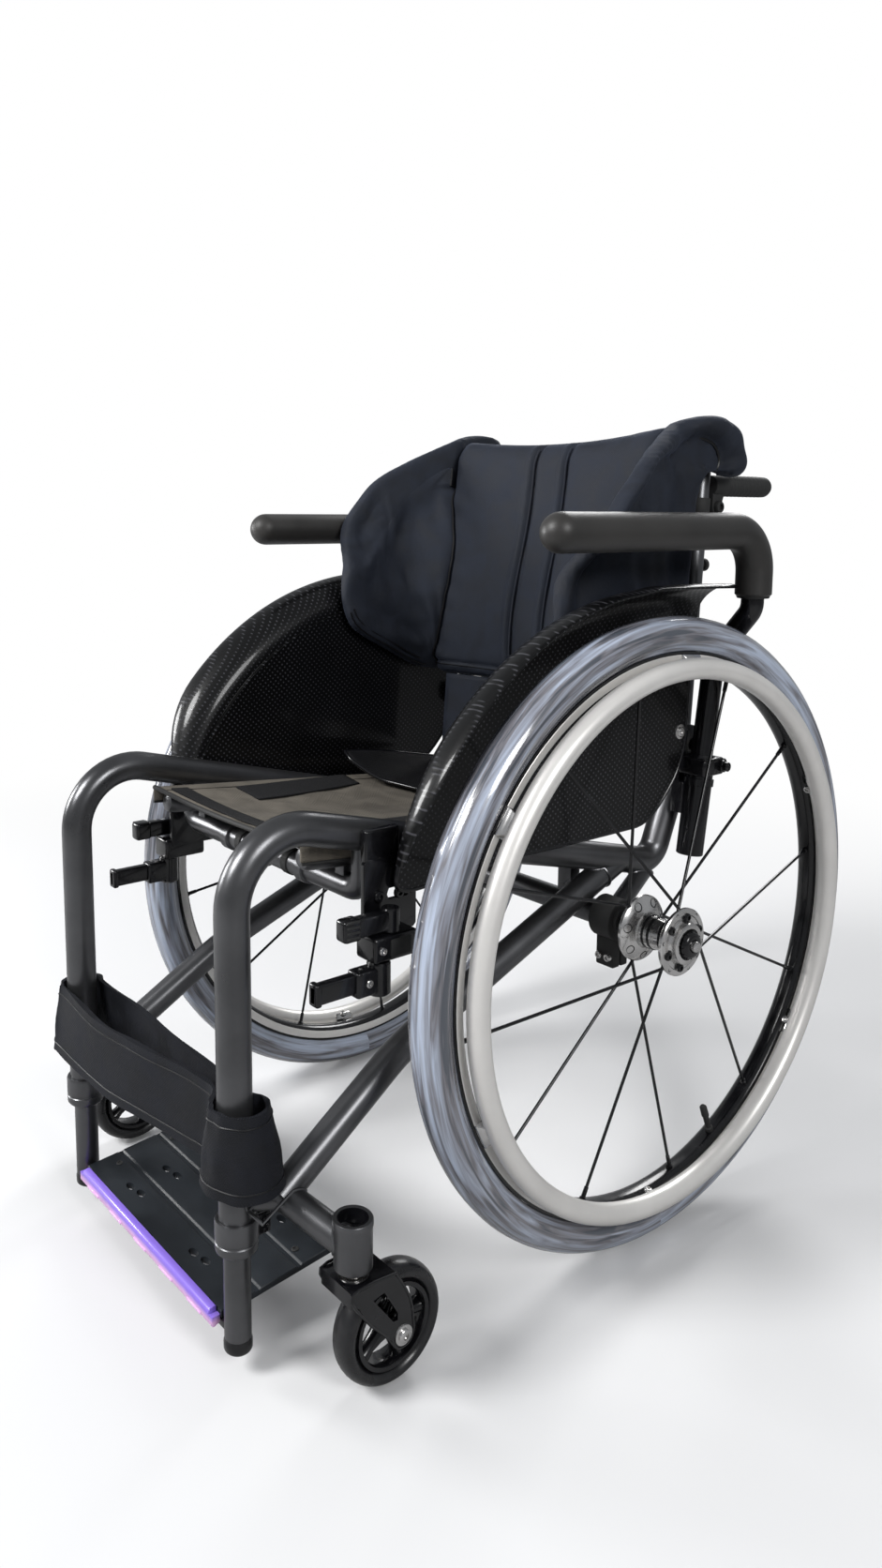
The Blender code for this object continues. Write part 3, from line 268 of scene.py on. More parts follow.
class Piece:
    """Gathers shapes into one object of the chair; a shape that names no finish takes the piece's own."""

    def __init__(self, key):
        self.key = key
        self.points, self.faces, self.marks, self.finishes = [], [], [], []

    def add(self, shape, key=None):
        points, faces = shape
        base, key = len(self.points), key or self.key
        if key not in self.finishes:
            self.finishes.append(key)
        self.points += points
        self.faces += [tuple(base + i for i in face) for face in faces]
        self.marks += [self.finishes.index(key)] * len(faces)
        return self

    def tube(self, *at, key=None, **how):
        return self.add(tube(*at, **how), key)

    def turned(self, *at, key=None, **how):
        return self.add(turned(*at, **how), key)

    def block(self, *at, key=None, **how):
        return self.add(block(*at, **how), key)

    def plate(self, *at, key=None, **how):
        return self.add(plate(*at, **how), key)

    def bolt(self, *at, key=None, **how):
        return self.add(bolt(*at, **how), key)

    def bead(self, *at, key=None, **how):
        return self.add(bead(*at, **how), key)

    def done(self, name, body, replaces=(), slot=None, smooth_deg=38.0):
        mesh = bpy.data.meshes.new(name)
        mesh.from_pydata([(x, y + SHIFT_Y, z) for x, y, z in self.points], [], self.faces)
        mesh.polygons.foreach_set("material_index", self.marks)
        for key in self.finishes:
            mesh.materials.append(finish(key))
        bm = bmesh.new()
        bm.from_mesh(mesh)
        bmesh.ops.recalc_face_normals(bm, faces=bm.faces)
        bm.to_mesh(mesh)
        bm.free()
        mesh.shade_smooth()
        mesh.set_sharp_from_angle(angle=math.radians(smooth_deg))
        obj = bpy.data.objects.new(name, mesh)
        bpy.context.scene.collection.objects.link(obj)
        if body:
            settle(obj, body, replaces)
        return obj


def settle(obj, body, replaces=()):
    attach(obj, body)
    if replaces:
        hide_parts(*replaces)
    return obj


# Finishes


def finish(key):
    """The material of one finish, made once from its colour."""
    found = bpy.data.materials.get(key)
    return found or FINISHES[key](key, getattr(bpy.context.scene.wheelchair_colours, key))


def base_finish(key, colour, roughness, metallic=0.0, **sockets):
    material = bpy.data.materials.new(key)
    material.use_nodes = True
    shader = material.node_tree.nodes["Principled BSDF"]
    values = {"Base Color": (*colour, 1.0), "Roughness": roughness, "Metallic": metallic}
    values.update({name.replace("_", " "): value for name, value in sockets.items()})
    for socket, value in values.items():
        shader.inputs[socket].default_value = value
    return material, material.node_tree, shader


def texture(tree, kind, vector=None, **values):
    """A texture or maths node, fed with object coordinates unless a vector is given."""
    made = tree.nodes.new("ShaderNode" + kind)
    for key, value in values.items():
        if key in made.inputs:
            made.inputs[key].default_value = value
        else:
            setattr(made, key, value)
    if "Vector" in made.inputs:
        if vector is None:
            vector = tree.nodes.new("ShaderNodeTexCoord").outputs["Object"]
        tree.links.new(vector, made.inputs["Vector"])
    return made


def noise(tree, scale, detail):
    return texture(tree, "TexNoise", Scale=scale, Detail=detail).outputs[0]


def vary_colour(tree, shader, source, low, high, start=0.35, end=0.65):
    ramp = tree.nodes.new("ShaderNodeValToRGB")
    ramp.color_ramp.elements[0].position = start
    ramp.color_ramp.elements[1].position = end
    ramp.color_ramp.elements[0].color = (*low, 1.0)
    ramp.color_ramp.elements[1].color = (*high, 1.0)
    tree.links.new(source, ramp.inputs[0])
    tree.links.new(ramp.outputs[0], shader.inputs["Base Color"])


def vary_roughness(tree, shader, source, low, high):
    spread = tree.nodes.new("ShaderNodeMapRange")
    for name, value in zip(("From Min", "From Max", "To Min", "To Max"), (0.3, 0.7, low, high)):
        spread.inputs[name].default_value = value
    tree.links.new(source, spread.inputs[0])
    tree.links.new(spread.outputs[0], shader.inputs["Roughness"])


def raise_grain(tree, shader, source, strength, distance):
    made = tree.nodes.new("ShaderNodeBump")
    made.inputs["Strength"].default_value = strength
    made.inputs["Distance"].default_value = distance
    tree.links.new(source, made.inputs["Height"])
    tree.links.new(made.outputs[0], shader.inputs["Normal"])


def scaled(colour, factor):
    return tuple(min(1.0, c * factor) for c in colour[:3])


def maths(tree, operation, first, second=None):
    made = tree.nodes.new("ShaderNodeMath")
    made.operation = operation
    for i, value in enumerate((first, second)):
        if value is None:
            continue
        if isinstance(value, (int, float)):
            made.inputs[i].default_value = value
        else:
            tree.links.new(value, made.inputs[i])
    return made.outputs[0]


def around_axle(tree, turn_scale, radius_scale, across_scale):
    """Coordinates that follow a wheel: angle, distance from the rear axle, and distance across."""
    split = texture(tree, "SeparateXYZ")
    y = maths(tree, "SUBTRACT", split.outputs["Y"], SHIFT_Y)
    z = maths(tree, "SUBTRACT", split.outputs["Z"], AXLE_Z)
    turn = maths(tree, "ARCTAN2", y, z)
    reach = maths(tree, "SQRT", maths(tree, "ADD", maths(tree, "MULTIPLY", y, y),
                                      maths(tree, "MULTIPLY", z, z)))
    join = tree.nodes.new("ShaderNodeCombineXYZ")
    parts = ((turn, turn_scale), (reach, radius_scale), (split.outputs["X"], across_scale))
    for i, (value, scale) in enumerate(parts):
        tree.links.new(maths(tree, "MULTIPLY", value, scale), join.inputs[i])
    return join.outputs[0]


def coated_metal(key, colour):
    """Satin powder coat with its fine orange peel."""
    material, tree, shader = base_finish(key, colour, 0.32, 0.85)
    fine = noise(tree, 1500.0, 2.0)
    broad = noise(tree, 14.0, 5.0)
    vary_colour(tree, shader, broad, scaled(colour, 0.82), scaled(colour, 1.18))
    vary_roughness(tree, shader, broad, 0.27, 0.36)
    raise_grain(tree, shader, fine, 0.14, 0.0002)
    return material


def gloss_lacquer(key, colour):
    material, tree, shader = base_finish(key, colour, 0.2, 0.0, Specular_IOR_Level=0.4, Coat_Weight=0.25,
                                         Coat_Roughness=0.05)
    broad = noise(tree, 60.0, 6.0)
    vary_colour(tree, shader, broad, scaled(colour, 0.7), scaled(colour, 1.5))
    vary_roughness(tree, shader, broad, 0.14, 0.28)
    raise_grain(tree, shader, noise(tree, 260.0, 3.0), 0.05, 0.0003)
    return material


def moulded_plastic(key, colour):
    material, tree, shader = base_finish(key, colour, 0.45, Specular_IOR_Level=0.4)
    grain = noise(tree, 1100.0, 3.0)
    broad = noise(tree, 25.0, 4.0)
    vary_colour(tree, shader, broad, scaled(colour, 0.75), scaled(colour, 1.3))
    vary_roughness(tree, shader, broad, 0.36, 0.52)
    raise_grain(tree, shader, grain, 0.22, 0.0003)
    return material


def foam_rubber(key, colour):
    material, tree, shader = base_finish(key, colour, 0.45, Specular_IOR_Level=0.5, Sheen_Weight=0.05,
                                         Sheen_Roughness=0.5)
    cells = texture(tree, "TexVoronoi", Scale=1300.0).outputs[0]
    broad = noise(tree, 18.0, 6.0)
    vary_colour(tree, shader, broad, scaled(colour, 0.8), scaled(colour, 1.25))
    vary_roughness(tree, shader, broad, 0.38, 0.50)
    raise_grain(tree, shader, cells, 0.14, 0.0003)
    return material


def woven_cloth(key, colour, thread=900.0, sheen=0.25, spread=1.3):
    """A close weave: two sets of threads, with worn and creased patches."""
    material, tree, shader = base_finish(key, colour, 0.75, Specular_IOR_Level=0.3, Sheen_Weight=sheen,
                                         Sheen_Roughness=0.4)
    shader.inputs["Sheen Tint"].default_value = (*scaled(colour, 12.0), 1.0)
    warp = texture(tree, "TexWave", bands_direction="Z", Scale=thread * 0.31, Distortion=0.6).outputs[1]
    weft = texture(tree, "TexWave", bands_direction="DIAGONAL", Scale=thread * 0.31,
                   Distortion=0.6).outputs[1]
    weave = maths(tree, "MULTIPLY", warp, weft)
    broad = texture(tree, "TexNoise", Scale=34.0, Detail=9.0, Distortion=0.7).outputs[0]
    vary_colour(tree, shader, broad, scaled(colour, 1 / spread), scaled(colour, spread))
    vary_roughness(tree, shader, broad, 0.62, 0.82)
    crease = maths(tree, "ADD", weave, maths(tree, "MULTIPLY", broad, 1.6))
    raise_grain(tree, shader, crease, 0.3, 0.0007)
    return material


def seat_canvas(key, colour):
    return woven_cloth(key, colour, 620.0, 0.05, 1.2)


def smooth_webbing(key, colour):
    return woven_cloth(key, colour, 700.0, 0.02, 1.4)


def hook_tape(key, colour):
    """Close upright loops that catch no light."""
    material, tree, shader = base_finish(key, colour, 0.95)
    loops = texture(tree, "TexVoronoi", Scale=900.0).outputs[0]
    vary_colour(tree, shader, loops, scaled(colour, 0.4), scaled(colour, 1.7), 0.1, 0.6)
    vary_roughness(tree, shader, loops, 0.85, 1.0)
    raise_grain(tree, shader, loops, 0.8, 0.0012)
    return material


def carbon_weave(key, colour):
    """Black tows whose woven lattice shows small glints painted into the colour, under clear lacquer."""
    material, tree, shader = base_finish(key, colour, 0.36, 0.0, Specular_IOR_Level=0.15, Coat_Weight=0.4,
                                         Coat_Roughness=0.12)
    turned_by = texture(tree, "Mapping")
    turned_by.inputs["Rotation"].default_value = (math.radians(40), 0.0, 0.0)
    rows = texture(tree, "TexWave", turned_by.outputs[0], bands_direction="Z", Scale=66.0).outputs[1]
    columns = texture(tree, "TexWave", turned_by.outputs[0], bands_direction="Y", Scale=66.0).outputs[1]
    worn = maths(tree, "MULTIPLY", noise(tree, 22.0, 4.0), 0.5)
    weave_and_painted_glints = maths(tree, "ADD", maths(tree, "MULTIPLY", rows, columns), maths(tree, "SUBTRACT", worn, 0.25))
    # Painted glints: the weave's dots are brightened up to 17 times in the colour, unevenly in broad
    # patches; roughness and bump follow the weave.
    vary_colour(tree, shader, weave_and_painted_glints, scaled(colour, 0.6), scaled(colour, 17.0), 0.56, 0.95)
    vary_roughness(tree, shader, weave_and_painted_glints, 0.42, 0.30)
    raise_grain(tree, shader, weave_and_painted_glints, 0.3, 0.0003)
    return material


def brushed_silver(key, colour):
    material, tree, shader = base_finish(key, colour, 0.38, 0.42)
    brush = texture(tree, "TexNoise", around_axle(tree, 3.0, 900.0, 900.0), Scale=1.0,
                    Detail=4.0).outputs[0]
    broad = noise(tree, 10.0, 5.0)
    vary_colour(tree, shader, broad, scaled(colour, 0.92), scaled(colour, 1.06))
    vary_roughness(tree, shader, brush, 0.33, 0.44)
    raise_grain(tree, shader, brush, 0.05, 0.0002)
    return material


def machined_alloy(key, colour):
    material, tree, shader = base_finish(key, colour, 0.2, 1.0)
    lines = texture(tree, "TexNoise", around_axle(tree, 1.0, 700.0, 700.0), Scale=1.0,
                    Detail=2.0).outputs[0]
    broad = noise(tree, 45.0, 3.0)
    vary_colour(tree, shader, broad, scaled(colour, 0.86), scaled(colour, 1.1))
    vary_roughness(tree, shader, lines, 0.16, 0.28)
    raise_grain(tree, shader, lines, 0.03, 0.0001)
    return material


def smoky_rubber(key, colour):
    """Smoky tread rubber: brownish streaks of its own tone and pale streaks, partly painted highlight, run
    round the wheel under a wet-looking skin.
    """
    material, tree, shader = base_finish(key, colour, 0.16, Specular_IOR_Level=0.6, Coat_Weight=0.8,
                                         Coat_Roughness=0.04)
    streaks = texture(tree, "TexNoise", around_axle(tree, 3.4, 190.0, 190.0), Scale=1.0, Detail=3.0,
                      Distortion=0.6)
    bands = texture(tree, "TexNoise", around_axle(tree, 1.3, 45.0, 45.0), Scale=1.0, Detail=2.0,
                    Distortion=0.3)
    tone_and_painted_highlight = maths(tree, "ADD", maths(tree, "MULTIPLY", streaks.outputs[0], 0.6),
                  maths(tree, "MULTIPLY", bands.outputs[0], 0.4))
    # Pale streaks up to 2.6 times the colour are partly the rubber's smoky tone and partly painted
    # highlight; the brownish stop is the rubber's own tone.
    vary_colour(tree, shader, tone_and_painted_highlight, scaled(colour, 0.42), scaled(colour, 2.6), 0.40, 0.63)
    ramp = shader.inputs["Base Color"].links[0].from_node.color_ramp
    brown = ramp.elements.new(0.455)
    brown.color = (colour[0] * 0.95, colour[1] * 0.82, colour[2] * 0.74, 1.0)
    vary_roughness(tree, shader, tone_and_painted_highlight, 0.12, 0.26)
    raise_grain(tree, shader, streaks.outputs[0], 0.16, 0.001)
    return material


def dark_rubber(key, colour):
    material, tree, shader = base_finish(key, colour, 0.28, Coat_Weight=0.2, Coat_Roughness=0.15)
    broad = noise(tree, 90.0, 6.0)
    vary_colour(tree, shader, broad, scaled(colour, 0.7), scaled(colour, 1.6))
    vary_roughness(tree, shader, broad, 0.22, 0.4)
    raise_grain(tree, shader, broad, 0.08, 0.0004)
    return material


def edge_strip(key, colour):
    """Soft plastic that runs from lilac above to pink below."""
    material, tree, shader = base_finish(key, colour, 0.32, Coat_Weight=0.3)
    split = texture(tree, "SeparateXYZ")
    height = maths(tree, "MULTIPLY", maths(tree, "SUBTRACT", split.outputs["Z"], 0.0345), 80.0)
    cloudy = maths(tree, "MULTIPLY", noise(tree, 70.0, 3.0), 0.2)
    vary_colour(tree, shader, maths(tree, "ADD", height, cloudy), (0.85, 0.50, 0.86), tuple(colour[:3]),
                0.35, 0.75)
    return material


def plain_floor(key, colour):
    """White to the camera beyond the chair, dimmer to all other rays, and pale where its shadow falls."""
    material, tree, shader = base_finish(key, colour, 0.7)
    path = tree.nodes.new("ShaderNodeLightPath")
    broad = noise(tree, 0.8, 2.0)
    seen = maths(tree, "MULTIPLY", path.outputs["Is Camera Ray"], maths(tree, "ADD", broad, 2.0))
    vary_colour(tree, shader, seen, scaled(colour, 0.45), colour, 0.0, 1.0)
    split = texture(tree, "SeparateXYZ")
    x, y = split.outputs["X"], split.outputs["Y"]
    reach = maths(tree, "SQRT", maths(tree, "ADD", maths(tree, "MULTIPLY", x, x),
                                      maths(tree, "MULTIPLY", y, y)))
    away = tree.nodes.new("ShaderNodeMapRange")
    away.interpolation_type = "SMOOTHSTEP"
    for name, value in zip(("From Min", "From Max"), (0.75, 2.1)):
        away.inputs[name].default_value = value
    tree.links.new(reach, away.inputs[0])
    white, mix = tree.nodes.new("ShaderNodeEmission"), tree.nodes.new("ShaderNodeMixShader")
    white.inputs["Strength"].default_value = 1.0
    tree.links.new(maths(tree, "MULTIPLY", away.outputs[0], path.outputs["Is Camera Ray"]), mix.inputs[0])
    tree.links.new(shader.outputs[0], mix.inputs[1])
    tree.links.new(white.outputs[0], mix.inputs[2])
    tree.links.new(mix.outputs[0], tree.nodes["Material Output"].inputs["Surface"])
    return material


FINISHES = {
    "frame_grey": coated_metal,
    "black_lacquer": gloss_lacquer,
    "black_plastic": moulded_plastic,
    "arm_foam": foam_rubber,
    "back_cloth": woven_cloth,
    "thread": moulded_plastic,
    "seat_cloth": seat_canvas,
    "skirt_black": smooth_webbing,
    "strap_black": smooth_webbing,
    "loop_tape": hook_tape,
    "carbon_black": carbon_weave,
    "rim_silver": brushed_silver,
    "hub_alloy": machined_alloy,
    "tyre_grey": smoky_rubber,
    "caster_rubber": dark_rubber,
    "plate_grey": moulded_plastic,
    "strip_lilac": edge_strip,
    "floor_pale": plain_floor,
}


# Frame


def seat_z(y):
    return 0.438 - 0.25 * (y + 0.330)


def rail_z(y):
    return 0.407 - 0.09 * (y + 0.330)


def side_path(side, steps=16):
    x = side * FRAME_X
    corners = [(x, LEG_Y, 0.118), (x, LEG_Y, seat_z(LEG_Y)), (x, 0.094, seat_z(0.094)), (x, 0.134, 0.428)]
    return rounded(corners, (0.058, 0.024), steps)


def caster_arm_path(side):
    corners = [
        (side * FRAME_X, LEG_Y + 0.004, 0.151),
        (side * 0.159, -0.380, 0.148),
        (side * CASTER_STEM[0], CASTER_STEM[1], 0.1275),
    ]
    return rounded(corners, (0.02,), 8)


def make_side_frame(word, side, radius):
    piece = Piece("frame_grey")
    piece.tube(side_path(side), radius, 40)
    piece.turned((side * FRAME_X, 0.134, 0.428), (0, 0.06, 1),
                 [(-0.004, 0.0149), (0.0008, 0.0149), (0.0012, 0)], 32, key="black_plastic")
    x = side * FRAME_X
    leg = (x, LEG_Y, 0.2)
    piece.tube(caster_arm_path(side), 0.0125, 32)
    piece.bead((side * 0.156, -0.389, 0.149), (-side * 0.29, -0.78, 0.05), 0.0125, leg, (0, 0, 1), radius)
    centre = (side * CASTER_STEM[0], CASTER_STEM[1], 0.0)
    barrel = [(0.1118, 0.0112), (0.1118, 0.0146), (0.1128, 0.0155), (0.1455, 0.0155), (0.1480, 0.0162),
              (0.1520, 0.0162), (0.1530, 0.0155), (0.1530, 0.0126), (0.1500, 0.0118), (0.1400, 0.0112)]
    piece.turned(centre, (0, 0, 1), barrel, 40, ring=True)
    piece.turned(centre, (0, 0, 1), [(0.1384, 0.0113), (0.1396, 0.0113), (0.1402, 0.0100), (0.1392, 0.0060),
                                     (0.1388, 0)], 32, key="black_lacquer")
    piece.turned(centre, (0, 0, 1), [(0.1400, 0.0107), (0.1400, 0.0116), (0.1527, 0.0124),
                                     (0.1527, 0.0118)], 32, ring=True, key="black_lacquer")
    arm_dir = Vector((side * 0.0665, 0.023, -0.0205))
    piece.bead(Vector((side * 0.19, -0.369, 0.1385)), arm_dir, 0.0125, (centre[0], centre[1], 0.13),
               (0, 0, 1), 0.0155)
    low = (side * 0.162, -0.3835, 0.1475)
    corners = [low, (side * 0.1525, -0.250, 0.2308), (side * 0.1465, 0.041, 0.3446)]
    piece.tube(rounded(corners, (0.25,), 14), 0.0133, 32)
    piece.bead((side * 0.1575, -0.320, 0.187), Vector(low) - Vector(corners[1]), 0.0133,
               (side * 0.170, -0.376, 0.1445), (side * 0.0665, 0.023, -0.0205), 0.0128)
    up = Vector((0, 1, -0.25))
    piece.bead((side * 0.1490, -0.080, 0.2973), Vector(corners[2]) - Vector(corners[1]), 0.0133,
               (x, 0.0, seat_z(0.0)), up, radius)
    nodes = (f"side_tube_{word}", f"caster_arm_{word}", f"diagonal_tube_{word}")
    piece.done(f"side_frame_{word}", "frame", nodes, "frame_paint")


def make_cross_frame():
    """Front cross tube, seat rails and rear axle tube."""
    piece = Piece("frame_grey")
    y = -0.285
    low, high = (y, 0.377), (y, seat_z(y) - 0.008)
    corners = [(-FRAME_X, *high), (-FRAME_X, *low), (FRAME_X, *low), (FRAME_X, *high)]
    piece.tube(rounded(corners, (0.018, 0.018), 8), 0.011, 28)
    for _, side in SIDES:
        x = side * RAIL_X
        nose = [(-0.331, 0.006), (-0.3295, 0.0088), (-0.326, 0.0102), (-0.319, RAIL_RADIUS)]
        path = [(x, v, rail_z(v)) for v, _ in nose] + [(x, 0.040, rail_z(0.040))]
        piece.tube(path, [r for _, r in nose] + [RAIL_RADIUS], 24)
        piece.turned((side * 0.064, y, 0.377), (1, 0, 0),
                     [(-0.007, 0.011), (-0.0055, 0.0135), (0.0055, 0.0135), (0.007, 0.011)], 28)
        piece.turned((side * 0.040, y, 0.377), (1, 0, 0),
                     [(-0.0050, 0.011), (-0.0040, 0.0122), (0.0040, 0.0122), (0.0050, 0.011)], 28,
                     key="black_plastic")
        piece.block((x - 0.009, -0.007, 0.3123), (x + 0.009, 0.007, rail_z(0) - 0.004), 0.0015)
        piece.block((x - 0.0065, y - 0.006, 0.381), (x + 0.0065, y + 0.006, rail_z(y) - 0.004))
    piece.done("seat_rails", "frame", ("seat_subframe",), "frame_paint")
    axle = Piece("frame_grey")
    axle.turned((0, 0, AXLE_Z), (1, 0, 0), [(-0.190, 0.0069), (-0.190, 0.0112), (-0.1892, 0.012),
                                            (0.1892, 0.012), (0.190, 0.0112), (0.190, 0.0069)], 40,
                ring=True)
    for _, side in SIDES:
        axle.turned((side * 0.178, 0, AXLE_Z), (side, 0, 0),
                    [(0.0, 0.0123), (0.0005, 0.0135), (0.010, 0.0135), (0.012, 0.0118), (0.012, 0.007)], 32,
                    key="black_plastic")
    axle.done("axle_bar", "frame", ("axle_tube",), "frame_paint")


def make_axle_clamp(word, side):
    piece = Piece("black_plastic")
    centre = (side * 0.175, 0, AXLE_Z)
    ring = [(-0.0125, 0.0124), (-0.0125, 0.0195), (-0.0115, 0.0205), (0.0115, 0.0205), (0.0125, 0.0195),
            (0.0125, 0.0124)]
    piece.turned(centre, (1, 0, 0), ring, 40, ring=True)
    piece.block((side * 0.164, -0.009, 0.252), (side * 0.186, 0.0015, 0.284), 0.0018)
    piece.block((side * 0.164, 0.0030, 0.252), (side * 0.186, 0.013, 0.284), 0.0018)
    for x in (0.1695, 0.1805):
        piece.bolt((side * x, -0.009, 0.2625), (0, -1, 0), 0.0040, 0.004, key="hub_alloy")
    start, end = Vector((side * 0.148, 0.080, 0.3245)), Vector((side * 0.1695, 0.016, 0.3065))
    piece.tube([start, start.lerp(end, 0.2), end], 0.0095, 28, key="frame_grey")
    piece.bead(end, start - end, 0.0095, (side * FRAME_X, 0.06, seat_z(0.06)), (0, 1, -0.25), 0.0143,
               key="frame_grey")
    piece.done(f"axle_holder_{word}", "frame", (f"axle_clamp_{word}",), "black_plastic")


# Rear corner, armrests and guards


def receiver_point(side, along):
    return Vector((side * 0.182, 0.1115, 0.345)) + Vector(
                                                          (0.0, math.sin(RECEIVER_LEAN),
                                                           math.cos(RECEIVER_LEAN))) * along


def make_corner(word, side):
    """Link plates, armrest receiver, backrest hinge and its screws."""
    piece = Piece("black_lacquer")
    base, axis = receiver_point(side, 0), receiver_point(side, 1) - receiver_point(side, 0)
    wall = [(0, 0.0114), (0, 0.0125), (0.001, 0.0135), (0.100, 0.0135), (0.104, 0.0130), (0.104, 0.0114)]
    piece.turned(base, axis, wall, 40, ring=True)
    piece.turned(base, axis, [(0.072, 0.0136), (0.0725, 0.0150), (0.0795, 0.0150), (0.080, 0.0136)], 40)
    link = [(0.104, 0.388), (0.132, 0.384), (0.138, 0.395), (0.137, 0.414), (0.128, 0.421), (0.106, 0.420)]
    piece.plate(link, "X", side * 0.1605, side * 0.176, 0.0018)
    piece.block((side * 0.1665, 0.108, 0.428), (side * 0.1985, 0.142, 0.446), 0.003, 3)
    piece.block((side * 0.180, 0.139, 0.4305), (side * 0.1975, 0.149, 0.4435), 0.003, 3)
    hinge = [(0.108, 0.398), (0.132, 0.396), (0.150, 0.402), (0.158, 0.430), (0.155, 0.456), (0.148, 0.468),
             (0.138, 0.474), (0.092, 0.486), (0.088, 0.478), (0.090, 0.464), (0.108, 0.452), (0.112, 0.440)]
    piece.plate(hinge, "X", side * 0.1608, side * 0.1660, 0.0010)
    piece.turned((side * 0.197, 0.138, 0.437), (side, 0, 0),
                 [(0, 0.0062), (0.004, 0.0062), (0.0045, 0.0048), (0.0085, 0.0048), (0.009, 0.0040),
                  (0.0092, 0)], 24)
    piece.turned((side * 0.166, 0.1373, 0.455), (side, 0, 0),
                 [(-0.010, 0.005), (0.001, 0.005), (0.0015, 0.0075), (0.0030, 0.0070), (0.0034, 0)], 24,
                 key="hub_alloy")
    piece.bolt((side * 0.176, 0.127, 0.402), (side, 0, 0), 0.0048, 0.0030, key="hub_alloy")
    piece.bolt((side * 0.166, 0.112, 0.410), (side, 0, 0), 0.0040, 0.0025)
    piece.turned((side * 0.164, 0.097, 0.474), (side, 0, 0), [(0, 0.007), (0.0078, 0.007), (0.0080, 0)], 20)
    piece.done(f"rear_corner_{word}", "frame", (f"armrest_receiver_{word}",), "black_paint")


def arm_path(side, from_foam=False, steps=12):
    corners = [
        receiver_point(side, 0.012),
        receiver_point(side, 0.205),
        Vector((side * 0.2245, ARM_REAR_Y, 0.599)),
        Vector((side * ARM_X, ARM_REAR_Y, ARM_Z)),
        Vector((side * ARM_X, ARM_FRONT_Y, ARM_Z)),
    ]
    if from_foam:
        return rounded([(side * ARM_X, ARM_REAR_Y, 0.612)] + corners[3:], (0.040,), steps)
    return rounded(corners, (0.03, 0.02, 0.040), steps)


def make_armrest(word, side, foam_radius):
    bar = Piece("black_lacquer")
    bar.tube(arm_path(side), 0.0109, 28)
    bar.done(f"arm_bar_{word}", f"armrest_{word}", (f"armrest_tube_{word}",), "black_paint")
    path = arm_path(side, from_foam=True, steps=18)
    radii = [foam_radius] * len(path)
    path.insert(1, path[0] + Vector((0, 0, 0.0025)))
    radii = [foam_radius - 0.0022, foam_radius] + radii[1:]
    for turn in range(10, 91, 10):
        a = math.radians(min(turn, 88))
        path.append(Vector((side * ARM_X, ARM_FRONT_Y - foam_radius * math.sin(a), ARM_Z)))
        radii.append(foam_radius * math.cos(a))
    pad = Piece("arm_foam")
    pad.tube(path, radii, 40)
    pad.turned((side * ARM_X, ARM_REAR_Y, 0.6105), (0, 0, 1),
               [(0.0, 0.0112), (0.0, 0.0150), (0.0015, 0.0158), (0.0022, 0.0112)], 32, ring=True,
               key="black_plastic")
    pad.done(f"arm_pad_{word}", f"armrest_{word}", (f"armrest_pad_{word}",), "foam")


def guard_crest():
    crest = []
    for turn in range(159, 94, -2):
        a = math.radians(turn)
        crest.append(Vector((0, CREST_RADIUS * math.cos(a), AXLE_Z + CREST_RADIUS * math.sin(a))))
    for y, z in ((0.0, 0.6262), (0.040, 0.6265), (0.080, 0.6260), (0.116, 0.6250)):
        crest.append(Vector((0, y, z)))
    return crest


